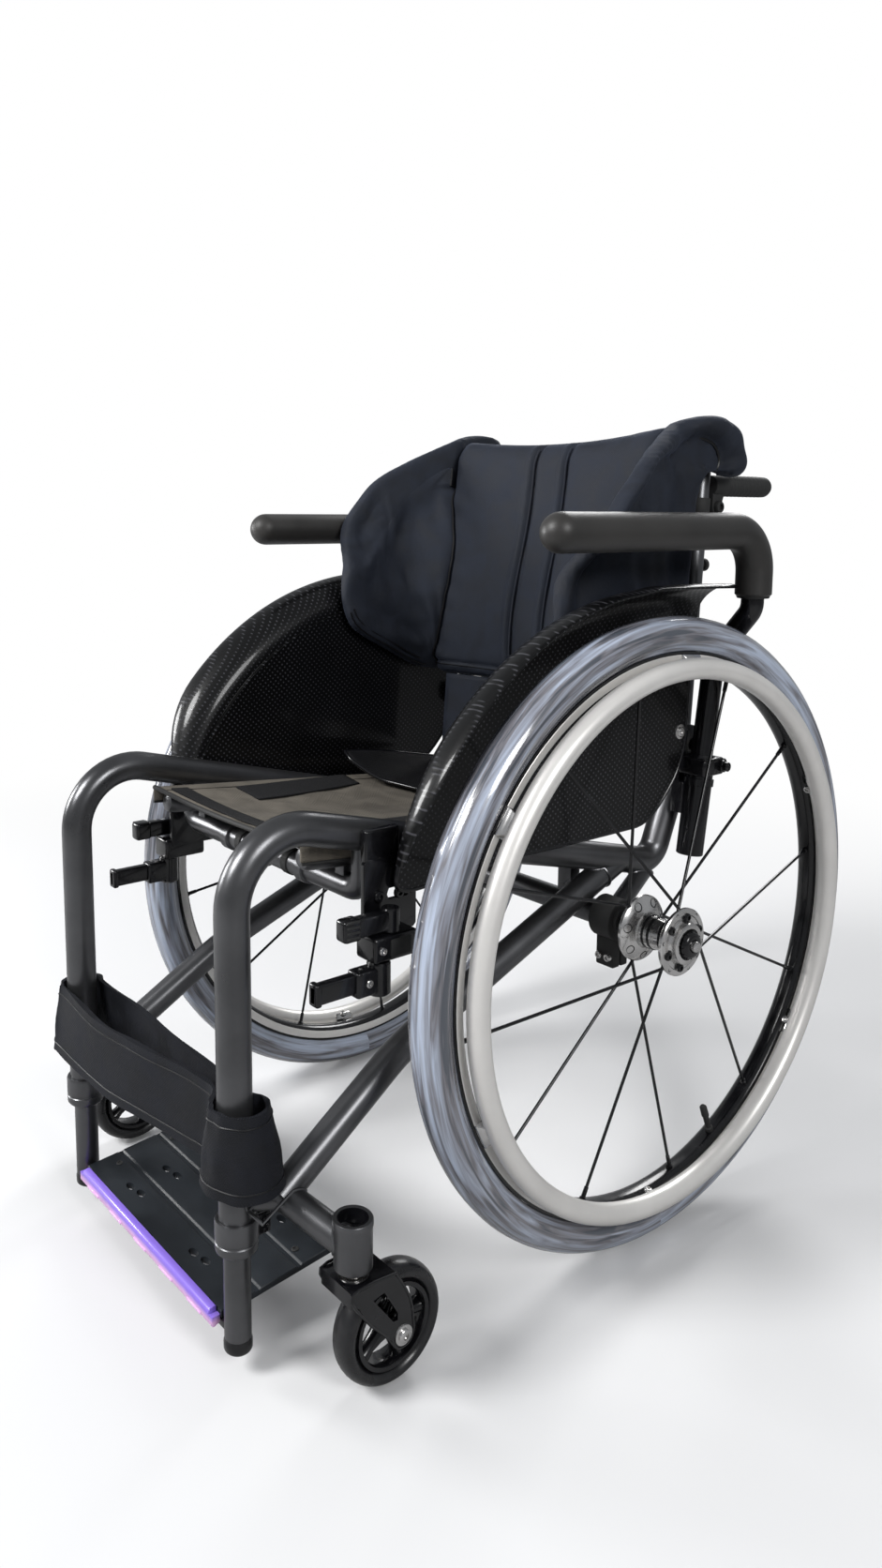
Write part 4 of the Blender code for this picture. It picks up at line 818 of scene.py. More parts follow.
def make_guard(word, side):
    """Carbon panel beside the seat; its top flares out over the tyre and its free edges are rolled."""
    crest, centre = guard_crest(), Vector((0, 0, AXLE_Z))
    edge = []
    for point in crest:
        inward = (centre - point).normalized() if point.y < 0 else Vector((0, 0, -1))
        spot = point + inward * 0.034
        edge.append((spot.y, spot.z))
    edge[-1] = (0.112, 0.591)
    tail = [(0.112, 0.591), (0.111, 0.560), (0.109, 0.530), (0.1075, 0.490), (0.106, 0.462), (0.095, 0.433),
            (0.078, 0.412), (0.060, 0.396), (0.040, 0.387), (0.010, 0.386), (-0.060, 0.386),
            (-0.147, 0.386), (-0.200, 0.3835), (-0.250, 0.3805), (-0.264, 0.3815), (-0.273, 0.3875)]
    outline = edge[:-1] + [(p.x, p.y) for p in through([Vector((y, z)) for y, z in tail], 3)]
    piece = Piece("carbon_black")
    piece.plate(outline, "X", side * GUARD_X, side * (GUARD_X + 0.003), 0.0006, 1)
    outer = [(0.1760, -0.040), (0.1766, -0.028), (0.1800, -0.0185), (0.1870, -0.0100), (0.1960, -0.0038),
             (0.2050, -0.0008), (0.2140, 0.0), (0.2205, -0.0012)]
    lip = through([Vector((x, up)) for x, up in outer], 3)
    inner = [p + Vector((0.0004, -0.0028)) for p in reversed(lip)]
    section = lip + [Vector((0.2222, -0.0022)), Vector((0.2224, -0.0034)),
                     Vector((0.2212, -0.0044))] + inner
    rings = []
    for i, point in enumerate(crest):
        outward = (point - centre).normalized() if point.y < 0 else Vector((0, 0, 1))
        taper = min(1.0, 0.20 + 0.080 * i)
        taper = 1.0 - (1.0 - taper) ** 2 if taper < 1.0 else 1.0
        rings.append([
            point + outward * (-0.036 + (p.y + 0.036) * taper)
            + Vector((side * (0.1740 + (p.x - 0.1740) * taper), 0, 0))
            for p in section
        ])
    piece.add(skin(rings))
    rolled = [Vector((side * (GUARD_X + 0.0015), y, z)) for y, z in [edge[0]] + tail[::-1]]
    piece.tube(through(rolled, 4), 0.0023, 12, key="black_lacquer")
    for y, z in ((0.097, 0.474), (-0.200, 0.410)):
        piece.turned((side * (GUARD_X + 0.003), y, z), (side, 0, 0),
                     [(0, 0.0078), (0.0008, 0.0076), (0.0010, 0.0058)], 28, key="hub_alloy")
        piece.bolt((side * (GUARD_X + 0.0035), y, z), (side, 0, 0), 0.0052, 0.0028, key="hub_alloy")
    piece.done(f"carbon_guard_{word}", "frame", (f"side_guard_{word}",), "carbon", 30.0)


# Backrest frame


def post_point(side, z):
    return Vector((side * FRAME_X, 0.1365 + (z - POST_FOOT_Z) / POST_RISE * 0.0215, z))


def make_back_frame():
    piece = Piece("frame_grey")
    for _, side in SIDES:
        foot, top = post_point(side, POST_FOOT_Z), post_point(side, POST_TOP_Z)
        up = (top - foot).normalized()
        piece.tube([foot, foot + up * 0.001, top - up * 0.003, top], [0.0090, 0.0098, 0.0098, 0.0080], 32)
        for z, reach in ((0.700, 0.009), (0.565, 0.008)):
            at = post_point(side, z)
            piece.turned(at, up, [(-reach, 0.0099), (-reach, 0.0110), (-reach + 0.001, 0.0115),
                                  (reach - 0.001, 0.0115), (reach, 0.0110), (reach, 0.0099)], 32,
                         key="black_plastic")
        at = post_point(side, 0.640) + Vector((0, 0.0095, 0))
        knob = [(0, 0.0040), (0.0030, 0.0042), (0.0032, 0.0068), (0.0080, 0.0068), (0.0090, 0.0058),
                (0.0092, 0)]
        piece.turned(at, (0, 1, 0), knob, 20, key="black_plastic")
    end = post_point(1, 0.560)
    reach = FRAME_X - 0.0106
    bar = [(x, end.y + 0.026 * (1 - (x / reach) ** 2), 0.560) for x in evenly(-reach, 2 * reach, 32)]
    piece.tube(bar, 0.0075, 24)
    piece.done("back_frame", "backrest", ("back_post_left", "back_post_right", "back_bar"), "frame_paint")


def make_push_handle(word, side):
    x, y, z = side * FRAME_X, 0.1775, 0.700
    piece = Piece("black_plastic")
    grip = [(0.1695, 0.0090), (0.1700, 0.0104), (0.1715, 0.0108), (0.2400, 0.0108), (0.2600, 0.0110),
            (0.2665, 0.0108), (0.2690, 0.0096), (0.2700, 0.0075)]
    piece.tube([(x, a, GRIP_Z) for a, _ in grip], [r for _, r in grip], 32)
    for k in range(9):
        piece.turned((x, 0.196 + 0.007 * k, GRIP_Z), (0, 1, 0),
                     [(-0.0012, 0.0106), (0, 0.01115), (0.0012, 0.0106)], 28)
    lug = [(0.1695, 0.728), (0.1690, 0.701), (0.1705, 0.6945), (0.1760, 0.6915), (0.1820, 0.694),
           (0.1880, 0.710), (0.1900, GRIP_Z)]
    piece.plate(lug, "X", x - 0.006, x + 0.006, 0.0012)
    for way in (-1, 1):
        piece.bolt((x + way * 0.006, y, z), (way, 0, 0), 0.0066, 0.0048)
    piece.done(f"grip_{word}", f"push_handle_{word}", (f"push_handle_{word}",), "black_plastic")


# Soft goods


def remeshed(obj, voxel):
    """The object's mesh rebuilt from even squares."""
    modifier = obj.modifiers.new("even", "REMESH")
    modifier.mode = "VOXEL"
    modifier.voxel_size = voxel
    return applied(obj)


def applied(obj):
    graph = bpy.context.evaluated_depsgraph_get()
    mesh = bpy.data.meshes.new_from_object(obj.evaluated_get(graph))
    mesh.materials.clear()
    for slot in obj.data.materials:
        mesh.materials.append(slot)
    obj.modifiers.clear()
    obj.data = mesh
    mesh.shade_smooth()
    return obj


def subdivided(obj):
    modifier = obj.modifiers.new("fine", "SUBSURF")
    modifier.levels = modifier.render_levels = 1
    return applied(obj)


def thickened(obj, amount, offset=0.0):
    modifier = obj.modifiers.new("thickness", "SOLIDIFY")
    modifier.thickness, modifier.offset = amount, offset
    return applied(obj)


def cut_out(obj, cutter):
    """Takes the cutter's form out of the object and throws the cutter away."""
    modifier = obj.modifiers.new("slots", "BOOLEAN")
    modifier.operation, modifier.solver, modifier.object = "DIFFERENCE", "EXACT", cutter
    applied(obj)
    obj.data.set_sharp_from_angle(angle=math.radians(30))
    bpy.data.objects.remove(cutter)


def surface_of(obj):
    return BVHTree.FromPolygons([v.co for v in obj.data.vertices],
                                [p.vertices[:] for p in obj.data.polygons])


def met_from_front(surface, x, z):
    """Where a line that runs to the rear at this x and z first meets the surface."""
    return surface.ray_cast(Vector((x, -0.5, z)), Vector((0, 1, 0)))[0]


def swell(obj, hold, pressure, cap, frames=20):
    """Blows closed cloth up from inside while its seams hold, and keeps the shape it takes."""
    rest = [v.co.copy() for v in obj.data.vertices]
    group = obj.vertex_groups.new(name="seams")
    for i, point in enumerate(rest):
        weight = hold(point)
        if weight > 0.0:
            group.add([i], min(1.0, weight), "REPLACE")
    cloth = obj.modifiers.new("cloth", "CLOTH")
    cloth.settings.vertex_group_mass = "seams"
    cloth.settings.use_pressure = True
    cloth.settings.uniform_pressure_force = pressure
    cloth.settings.effector_weights.gravity = 0.0
    cloth.settings.quality = 5
    cloth.settings.mass = 0.25
    cloth.settings.bending_stiffness = 0.4
    cloth.collision_settings.use_collision = False
    cloth.point_cache.frame_start, cloth.point_cache.frame_end = 1, frames
    scene = bpy.context.scene
    for step in range(1, frames + 1):
        scene.frame_set(step)
    graph = bpy.context.evaluated_depsgraph_get()
    moved = obj.evaluated_get(graph).to_mesh()
    places = [v.co.copy() for v in moved.vertices]
    obj.evaluated_get(graph).to_mesh_clear()
    obj.modifiers.remove(cloth)
    scene.frame_set(1)
    for vert, before, after in zip(obj.data.vertices, rest, places):
        shift = after - before
        if shift.length > cap:
            shift = shift.normalized() * cap
        vert.co = before + shift
    obj.data.update()
    return obj


def pad_front(x, z):
    across = abs(x) / 0.150
    rise = min(max((z - 0.503) / 0.270, 0.0), 1.0)
    y = 0.049 + 0.036 * (3 * rise**2 - 2 * rise**3) ** 1.4 - 0.014 * across**2
    return y + 0.010 * max(0.0, (across - 0.88) / 0.12) ** 2


def make_back_pad(simulate):
    """Crowned cushion between the posts; two upright seams part a narrow middle panel."""
    rings = []
    for x in evenly(-0.1485, 0.297, 60):
        top = 0.771 + 0.009 * (abs(x) / 0.150) ** 2
        edge = max(0.0, (abs(x) / 0.150 - 0.90) / 0.10)
        ring = []
        for share in evenly(0.02, 0.96, 26):
            z = 0.505 + share * (top - 0.505)
            lift = 0.008 * (max(0.0, 0.10 - share) / 0.10) ** 2 + 0.014 * (
                    max(0.0, share - 0.90) / 0.10) ** 2
            ring.append((x, pad_front(x, z) + 0.003 + lift + 0.006 * edge**2, z))
        front = pad_front(x, 0.773)
        ring += [(x, front + 0.022, top), (x, 0.116, top - 0.001)]
        ring += [(x, 0.1240 - 0.004 * edge, 0.505 + s * (top - 0.505))
                 for s in (0.96, 0.8, 0.6, 0.4, 0.2, 0.04)]
        ring += [(x, 0.117, 0.5045), (x, pad_front(x, 0.503) + 0.020, 0.5045)]
        rings.append(ring)
    pad = Piece("back_cloth").add(skin(rings)).done("back_cushion", None, smooth_deg=180.0)
    remeshed(pad, voxel=0.005)

    def hold(point):
        x, y, z = abs(point.x), point.y - SHIFT_Y, point.z
        seam = math.exp(-(((x - SEAM_X) / 0.005) ** 2)) if y < 0.100 else 0.0
        rim = 1.0 if x > 0.140 or z < 0.514 or z > 0.766 else 0.0
        return max(seam, rim, 0.6 if y > 0.115 else 0.0)

    if simulate:
        swell(pad, hold, pressure=4.0, cap=0.007)
    subdivided(pad)
    for vert in pad.data.vertices:
        x, y, z = vert.co.x, vert.co.y - SHIFT_Y, vert.co.z
        if y > 0.108:
            continue
        for seam in (-SEAM_X, SEAM_X):
            off = x - seam - 0.0015 * math.sin(z * 30)
            vert.co.y += 0.0052 * math.exp(-((off / 0.0030) ** 2))
            vert.co.y -= 0.0022 * math.exp(-(((off + 0.0075) / 0.0040) ** 2))
        near = max(0.0, (abs(x) - 0.095) / 0.055)
        vert.co.y += 0.0011 * near * math.sin(z * 210 + x * 90) * math.sin(z * 37 + 1.0)
        vert.co.y += 0.0035 * math.exp(-(((z - 0.520) / 0.0022) ** 2)) * (1 if z < 0.54 else 0)
    ground = surface_of(pad)
    trims = Piece("thread")
    for seam in (-SEAM_X, SEAM_X):
        line = []
        for z in evenly(0.510, 0.254, 39):
            x = seam + 0.0015 * math.sin(z * 30) - 0.0026
            hit = met_from_front(ground, x, z)
            if hit:
                line.append((hit.x, hit.y - SHIFT_Y + 0.0006, hit.z))
        trims.tube(line, 0.0016, 8, key="back_cloth")
    line = []
    for x in evenly(-0.143, 0.286, 59):
        hit = met_from_front(ground, x, 0.5165)
        if hit:
            line.append((hit.x, hit.y - SHIFT_Y - 0.0001, hit.z))
    trims.tube(line, 0.0007, 6)
    settle(pad, "backrest", ("back_pad",))
    trims.done("back_piping", "backrest", slot="cloth")
    return ground


def wing_outline():
    return [(0.104, 0.520), (0.045, 0.509), (-0.018, 0.537), (-0.0665, 0.5655), (-0.0765, 0.602),
            (-0.071, 0.640), (-0.052, 0.680), (-0.028, 0.710), (-0.002, 0.735), (0.028, 0.753),
            (0.063, 0.770), (0.100, 0.785), (0.140, 0.7905), (0.168, 0.785), (0.186, 0.769),
            (0.1925, 0.746), (0.180, 0.7300), (0.128, 0.7300), (0.113, 0.640)]


def wing_x(y, z):
    forward = min(1.0, max(0.0, 0.085 - y) / 0.090)
    above = min(1.0, max(0.0, (z - 0.628) / 0.055))
    above = above * above * (3 - 2 * above)
    behind = min(1.0, max(0.0, (y - 0.095) / 0.030))
    return 0.1593 + 0.002 * forward + 0.031 * forward * above + 0.0080 * behind


def make_wing(word, side, simulate):
    """Side wing of the back: a puffed leaf edged by a round roll that curls round the post's top."""
    outline = [(p.x, p.y) for p in through([Vector((y, z)) for y, z in wing_outline()], 5, closed=True)]
    hub = Vector((0.085, 0.740))
    count = len(outline)

    def rolled(i):
        at = i / 5.0
        return max(0.0, min(1.0, (at - 3.2) / 1.2, (16.6 - at) / 0.8))

    def inset(i, depth):
        """A point some way in from the outline, on the line to the hub."""
        rim = Vector(outline[i])
        reach = (hub - rim).length
        wide = 1.0 + 0.45 * rolled(i) * min(1.0, max(0.0, (rim.x - 0.125) / 0.04))
        return rim + (hub - rim) / reach * min(depth * wide, reach * 0.85 * depth / 0.034)

    depths = (0.0, 0.0012, 0.0040, 0.0090, 0.0140, 0.0190, 0.0235, 0.0265, 0.0290, 0.0340)
    plain = (0.0028, 0.0048, 0.0062, 0.0072, 0.0078, 0.0080, 0.0080, 0.0080, 0.0080, 0.0080)
    thick = (0.0035, 0.0072, 0.0112, 0.0140, 0.0146, 0.0130, 0.0084, 0.0026, 0.0006, 0.0022)
    layers = []
    for face in (1, -1):
        for depth, flat_puff, roll_puff in zip(depths, plain, thick):
            ring = []
            for i in range(count):
                at = inset(i, depth)
                puff = flat_puff + (roll_puff - flat_puff) * (rolled(i) if face > 0 else 0.0)
                ring.append((side * (wing_x(*at) + face * puff), at.x, at.y))
            layers.append(ring)
        for share, puff in ((0.5, 0.0036), (0.2, 0.0046)) if face > 0 else ((0.5, 0.0080), (0.2, 0.0080)):
            ring = []
            for i in range(count):
                at = hub + (inset(i, depths[-1]) - hub) * share
                ring.append((side * (wing_x(*at) + face * puff), at.x, at.y))
            layers.append(ring)
    half = len(layers) // 2
    rings = layers[:half][::-1] + layers[half:]
    wing = Piece("back_cloth").add(skin(rings)).done(f"back_wing_cloth_{word}", None, smooth_deg=180.0)
    remeshed(wing, voxel=0.004)
    rim = [Vector(p) for p in outline]

    def hold(point):
        at = Vector((point.y - SHIFT_Y, point.z))
        nearest = min((at - spot).length for spot in rim[::2])
        grooved = abs(nearest - 0.029) < 0.004 and side * point.x > wing_x(*at)
        return 1.0 if nearest < 0.006 or grooved else 0.0

    if simulate:
        swell(wing, hold, pressure=3.0, cap=0.003)
    subdivided(wing)
    corner = Vector((0.100, 0.515))
    for vert in wing.data.vertices:
        y, z = vert.co.y - SHIFT_Y, vert.co.z
        out = Vector((y, z)) - corner
        reach, turn = out.length, math.atan2(out.y, -out.x)
        fade = math.exp(-((reach - 0.100) / 0.080) ** 2) * min(1.0, reach / 0.02)
        fold = 0.0021 * math.sin(turn * 15.0 + 0.6) + 0.0013 * math.sin(turn * 27.0 + 2.0)
        crease = 0.0007 * math.sin(z * 95 + y * 60) * math.sin(y * 120 - z * 35)
        curl = 0.0022 * math.sin(math.atan2(z - 0.735, y - 0.140) * 9.0) * min(1.0,
                max(0.0, (y - 0.150) / 0.015))
        inner = 1.0 if side * (vert.co.x - side * wing_x(y, z)) < 0 else 0.6
        vert.co.x += side * inner * (fold * fade * (0.0 if y > 0.13 else 1.0) + crease + curl)
    hem = Piece("thread")
    for depth in (0.0035, 0.0090):
        edge = []
        for i in range(count * 5 // 19 + 1):
            if rolled(i) < 0.3:
                at = inset(i, depth)
                edge.append((side * (wing_x(*at) - (0.0064 if depth < 0.005 else 0.0079)), at.x, at.y))
        hem.tube(edge, 0.0009, 6)
    groove = []
    for i in range(count):
        if rolled(i) >= 0.9:
            at = inset(i, 0.0285)
            groove.append((side * (wing_x(*at) + 0.0022), at.x, at.y))
    hem.tube(groove, 0.0015, 6)
    surface = surface_of(wing)
    settle(wing, "backrest", (f"back_wing_{word}",))
    stitching = hem.done(f"wing_stitching_{word}", "backrest", slot="cloth")
    for soft in (wing, stitching):
        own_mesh(soft)
    return surface


def make_gusset(word, side, cushion, wing):
    """Cloth that turns from the wing on to the cushion's front.

    It bulges most at mid height and has pleats from below."""
    border = through([Vector((x, 0, z)) for x, z in ((0.1480, 0.511), (0.1405, 0.528), (0.1335, 0.550),
                                                     (0.1285, 0.574), (0.1245, 0.604), (0.1230, 0.630),
                                                     (0.1245, 0.655), (0.1290, 0.674), (0.1355, 0.691),
                                                     (0.1425, 0.707), (0.1475, 0.722), (0.1498, 0.736),
                                                     (0.1508, 0.748))], 5)

    def on_cushion(x, z):
        hit = met_from_front(cushion, side * x, z)
        return hit.y - SHIFT_Y if hit else pad_front(x, z)

    def on_wing(y, z):
        hit = wing.ray_cast(Vector((side * 0.02, y + SHIFT_Y, z)), Vector((side, 0, 0)))[0]
        return side * hit.x if hit else wing_x(y, z) - 0.0080

    rows, seam = [], []
    for i, spot in enumerate(border):
        share = i / (len(border) - 1)
        open_up = math.sin(math.pi * (0.012 + 0.976 * share)) ** 0.85
        z = spot.z
        edge = Vector((spot.x, on_cushion(spot.x, z) - 0.0024, z))
        land = pad_front(0.15, z) - 0.001 - 0.045 * open_up
        shore = Vector((on_wing(land, z) - 0.0008, land, z))
        rise = edge + Vector((0.002, -0.016 * open_up, 0))
        bend = shore + Vector((-0.0075 * open_up, 0.022 * open_up, 0))
        row = []
        for k in range(15):
            t = k / 14
            point = (edge * (1 - t) ** 3 + rise * 3 * t * (1 - t) ** 2 + bend * 3 * t**2 * (1 - t) + shore
                     * t**3)
            turn = math.atan2(z - 0.495, 0.03 + 0.10 * t)
            fold = 0.0024 * math.sin(turn * 21 + t * 4) * math.exp(-(((z - 0.585) / 0.050) ** 2))
            fold += 0.0017 * math.sin(t * 9 - z * 90) * math.exp(-(((z - 0.690) / 0.030) ** 2))
            fold *= math.sin(math.pi * t) ** 0.5
            row.append((side * (point.x - fold * 0.5), point.y - fold * 0.85, z))
        for k in range(1, 10):
            y = land - 0.030 * open_up * k / 9
            row.append((side * (on_wing(y, z) - 0.0008 + 0.0018 * k / 9), y, z))
        rows.append(row)
        seam.append((side * (spot.x - 0.0006), edge.y - 0.0004, z))
    gusset = Piece("back_cloth").add(cloth_grid(rows)).done(f"back_gusset_{word}", None, smooth_deg=180.0)
    thickened(gusset, 0.0016)
    settle(gusset, "backrest")
    # A dark cord along the border: the seam, and a painted shadow line where the gusset's edge lies over the
    # cushion.
    seam_shadow_cord = Piece("thread").tube(seam, 0.0014, 8).done(f"gusset_seam_{word}", "backrest", slot="cloth")
    for soft in (gusset, seam_shadow_cord):
        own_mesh(soft)


def make_lower_panel():
    """Cloth below the cushion, hung between the posts."""
    rows = []
    for r in range(19):
        share = r / 18
        row = []
        for x in evenly(-0.127, 0.254, 40):
            bow = 0.012 * (1 - (x / 0.127) ** 2)
            y = 0.0520 - 0.0060 * share + 0.0009 * math.sin(x * 70 + share * 2) * share
            row.append((x, y + bow, 0.5050 - 0.0930 * share))
        rows.append(row)
    panel = Piece("back_cloth").add(cloth_grid(rows)).done("lower_back_cloth", None, smooth_deg=180.0)
    thickened(panel, 0.0032)
    settle(panel, "backrest", ("back_lower_panel",))


def sling_top(x, y):
    crown = rail_z(y) + RAIL_RADIUS + 0.0012 + 0.0032
    t = (y - SLING_FRONT_Y) / SLING_DEPTH
    sag = 0.009 * math.sin(math.pi * (t * 7 + 0.4) / 7.4) + 0.002
    return crown - sag * (1 - min(1.0, abs(x) / RAIL_X) ** 2)


def make_sling():
    """Seat canvas wrapped over both rails, its bound edges and the strips of hook tape sewn on it."""
    rows = []
    for y in evenly(SLING_FRONT_Y, SLING_DEPTH, 42):
        row = []
        crown = rail_z(y) + 0.0117
        for drop in (0.0125, 0.0095, 0.0060, 0.0030):
            row.append((-0.1309, y, crown - drop + 0.001))
        row.append((-0.1302, y, crown + 0.0020))
        row.append((-0.1275, y, crown + 0.0030))
        for x in evenly(-0.1240, 0.248, 40):
            puck = 0.0006 * math.sin(y * 85 + x * 25) * math.sin(x * 60)
            drawn = math.sin(58 * x + 41 * y + 1.4 * math.sin(26 * y - 18 * x))
            puck += 0.0008 * abs(drawn) ** 3 * (1 - (abs(x) / 0.124) ** 4)
            row.append((x, y, sling_top(x, y) + puck))
        row.append((0.1275, y, crown + 0.0030))
        row.append((0.1302, y, crown + 0.0020))
        for drop in (0.0030, 0.0060, 0.0095, 0.0125):
            row.append((0.1309, y, crown - drop + 0.001))
        rows.append(row)
    points, faces = cloth_grid(rows)
    middle = [f for f in faces if all(abs(points[i][0]) <= 0.1245 for i in f)]
    hems = [f for f in faces if f not in middle]
    sling = Piece("seat_cloth").add((points, middle)).add(([], []), "black_plastic")
    sling.faces += hems
    sling.marks += [1] * len(hems)
    sling = sling.done("seat_canvas", None, smooth_deg=180.0)
    thickened(sling, 0.0026, -1.0)
    # Faces that look down take the black finish: painted shade on the canvas's underside.
    for face in sling.data.polygons:
        if face.normal.z < -0.3:
            face.material_index = 1
    settle(sling, "frame", ("seat_sling",))
    trims = Piece("black_plastic")
    for y in (SLING_FRONT_Y, SLING_REAR_Y):
        line = [(x, y, sling_top(x, y) - 0.0008) for x in evenly(-0.128, 0.256, 40)]
        trims.tube(line, 0.0024, 10)
    for side in (-1, 1):
        line = [(side * 0.1305, y, rail_z(y) - 0.0012) for y in (SLING_FRONT_Y, -0.2, -0.05, SLING_REAR_Y)]
        trims.tube(line, 0.0014, 8)
        line = [(side * 0.108, y, sling_top(0.108, y) + 0.0001) for y in evenly(-0.336, 0.378, 40)]
        trims.tube(line, 0.0006, 6, key="thread")
    trims.done("seat_binding", "frame", slot="sling")
    tapes = Piece("loop_tape")
    strips = (((-0.1035, -0.0600), (-0.1205, -0.0915), -0.258, -0.108),
              ((0.0540, 0.1040), (0.0380, 0.1180), -0.258, -0.108),
              ((-0.1080, 0.1080), (-0.1080, 0.1080), -0.330, -0.312))
    for front, rear, start, end in strips:
        patch = []
        for r in range(21):
            y = start + (end - start) * r / 20
            left, right = (a + (b - a) * r / 20 for a, b in zip(front, rear))
            patch.append([
                (x, y, sling_top(x, y) + 0.0016)
                for x in evenly(left, right - left, 20)
            ])
        tapes.add(cloth_grid(patch))
    tape = tapes.done("seat_tape", None, smooth_deg=180.0)
    thickened(tape, 0.0016)
    settle(tape, "frame")


def make_skirt():
    """Curved black flap at the rear of the seat; its front corners stand up against the guards."""
    rows = []
    for r in range(25):
        share = r / 24
        row = []
        for t in evenly(-1, 2, 56):
            x = 0.127 * t
            front = -0.117 + 0.052 * (1 - t**2) + 0.016 * (max(0.0, abs(t) - 0.82) / 0.18) ** 2
            y = 0.042 + (front - 0.042) * share
            edge = max(0.0, abs(t) - 0.60) / 0.40
            rise = 0.028 * edge**1.7 * (0.40 + 0.60 * share)
            corner = max(0.0, edge + share - 1.45) / 0.55
            z = sling_top(x, y) + 0.0034 + rise - 0.008 * corner**2 + 0.003 * share**4
            row.append((x, y, z))
        rows.append(row)
    skirt = Piece("skirt_black").add(cloth_grid(rows)).done("seat_skirt", None, smooth_deg=180.0)
    thickened(skirt, 0.0022, 1.0)
    settle(skirt, "frame")
    trim = Piece("black_lacquer")
    rim = [row[0] for row in rows] + rows[-1][1:-1] + [row[-1] for row in rows[::-1]]
    trim.tube([Vector(p) + Vector((0, 0, 0.0011)) for p in rim], 0.0019, 10)
    rim = trim.done("skirt_edge", "frame", slot="cloth")
    for soft in (skirt, rim):
        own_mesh(soft)


def strap_rings():
    """Rings of the calf strap, inner rows then outer rows, all the way round."""
    top, bottom, wall = 0.231, 0.1655, 0.0040
    heights = [top - (top - bottom) * k / 8 for k in range(9)]
    stations = []
    for a in map(math.radians, evenly(-128, 246, 7)):
        stations.append((FRAME_X, math.cos(a), math.sin(a),
                         1.0 + 0.50 * max(0.0, math.cos(a - math.radians(25)))))
    stations += [(0.085, 0.0, 0.0185, 0.0), (0.0, 0.0, 0.0195, 0.0), (-0.085, 0.0, 0.0215, 0.0)]
    for a in map(math.radians, evenly(62, 222, 7)):
        stations.append((-FRAME_X, math.cos(a), math.sin(a),
                         1.0 + 0.25 * max(0.0, math.cos(a - math.radians(140)))))
    stations += [(-0.060, 0.0, -0.0175, 0.0), (0.0, 0.0, -0.0095, 0.0), (0.070, 0.0, 0.0035, 0.0),
                 (0.105, 0.0, 0.0060, 0.0)]
    rings = []
    for x, c, s, bulge in stations:
        ring = []
        for layer in (0.0, wall):
            for row, z in enumerate(heights if layer == 0.0 else heights[::-1]):
                flare = (top - z) / (top - bottom)
                ease = 0.0006 * math.cos(row * math.pi / 4)
                if bulge:
                    r = (0.0172 + 0.0080 * flare) * bulge + (layer - ease if layer else 0.0003)
                    ring.append(Vector((x + r * c, LEG_Y + r * s, z)))
                else:
                    out = -1.0 if s < 0.010 else 1.0
                    ring.append(Vector((x, LEG_Y + s + out * (layer + 0.004 * flare), z - 0.004)))
        rings.append(ring)
    columns = [through([ring[i] for ring in rings], 5, closed=True) for i in range(18)]
    return [[column[k] for column in columns] for k in range(len(columns[0]))]


def make_strap():
    rings = strap_rings()
    for k, ring in enumerate(rings):
        for i, point in enumerate(ring):
            ring[i] = point + Vector((0.0, 0.0009 * math.sin(k * 0.9 + i * 0.5) * math.sin(point.z * 90),
                                      0.0))
    strap = Piece("strap_black").add(skin(rings, closed=True)).done("calf_band", "frame", ("calf_strap",),
            "cloth", 50.0)
    seams = Piece("thread")
    for row in (10, 16):
        line = []
        for ring in rings:
            out = (ring[row] - ring[17 - row]).normalized()
            line.append(ring[row] + out * 0.0001)
        seams.tube(line, 0.0007, 6, closed=True)
    seams.done("calf_band_stitching", "frame", slot="cloth")


# Footrest


def plate_z(y):
    return PLATE_FRONT_Z + (y - PLATE_FRONT_Y) / PLATE_DEPTH * 0.011


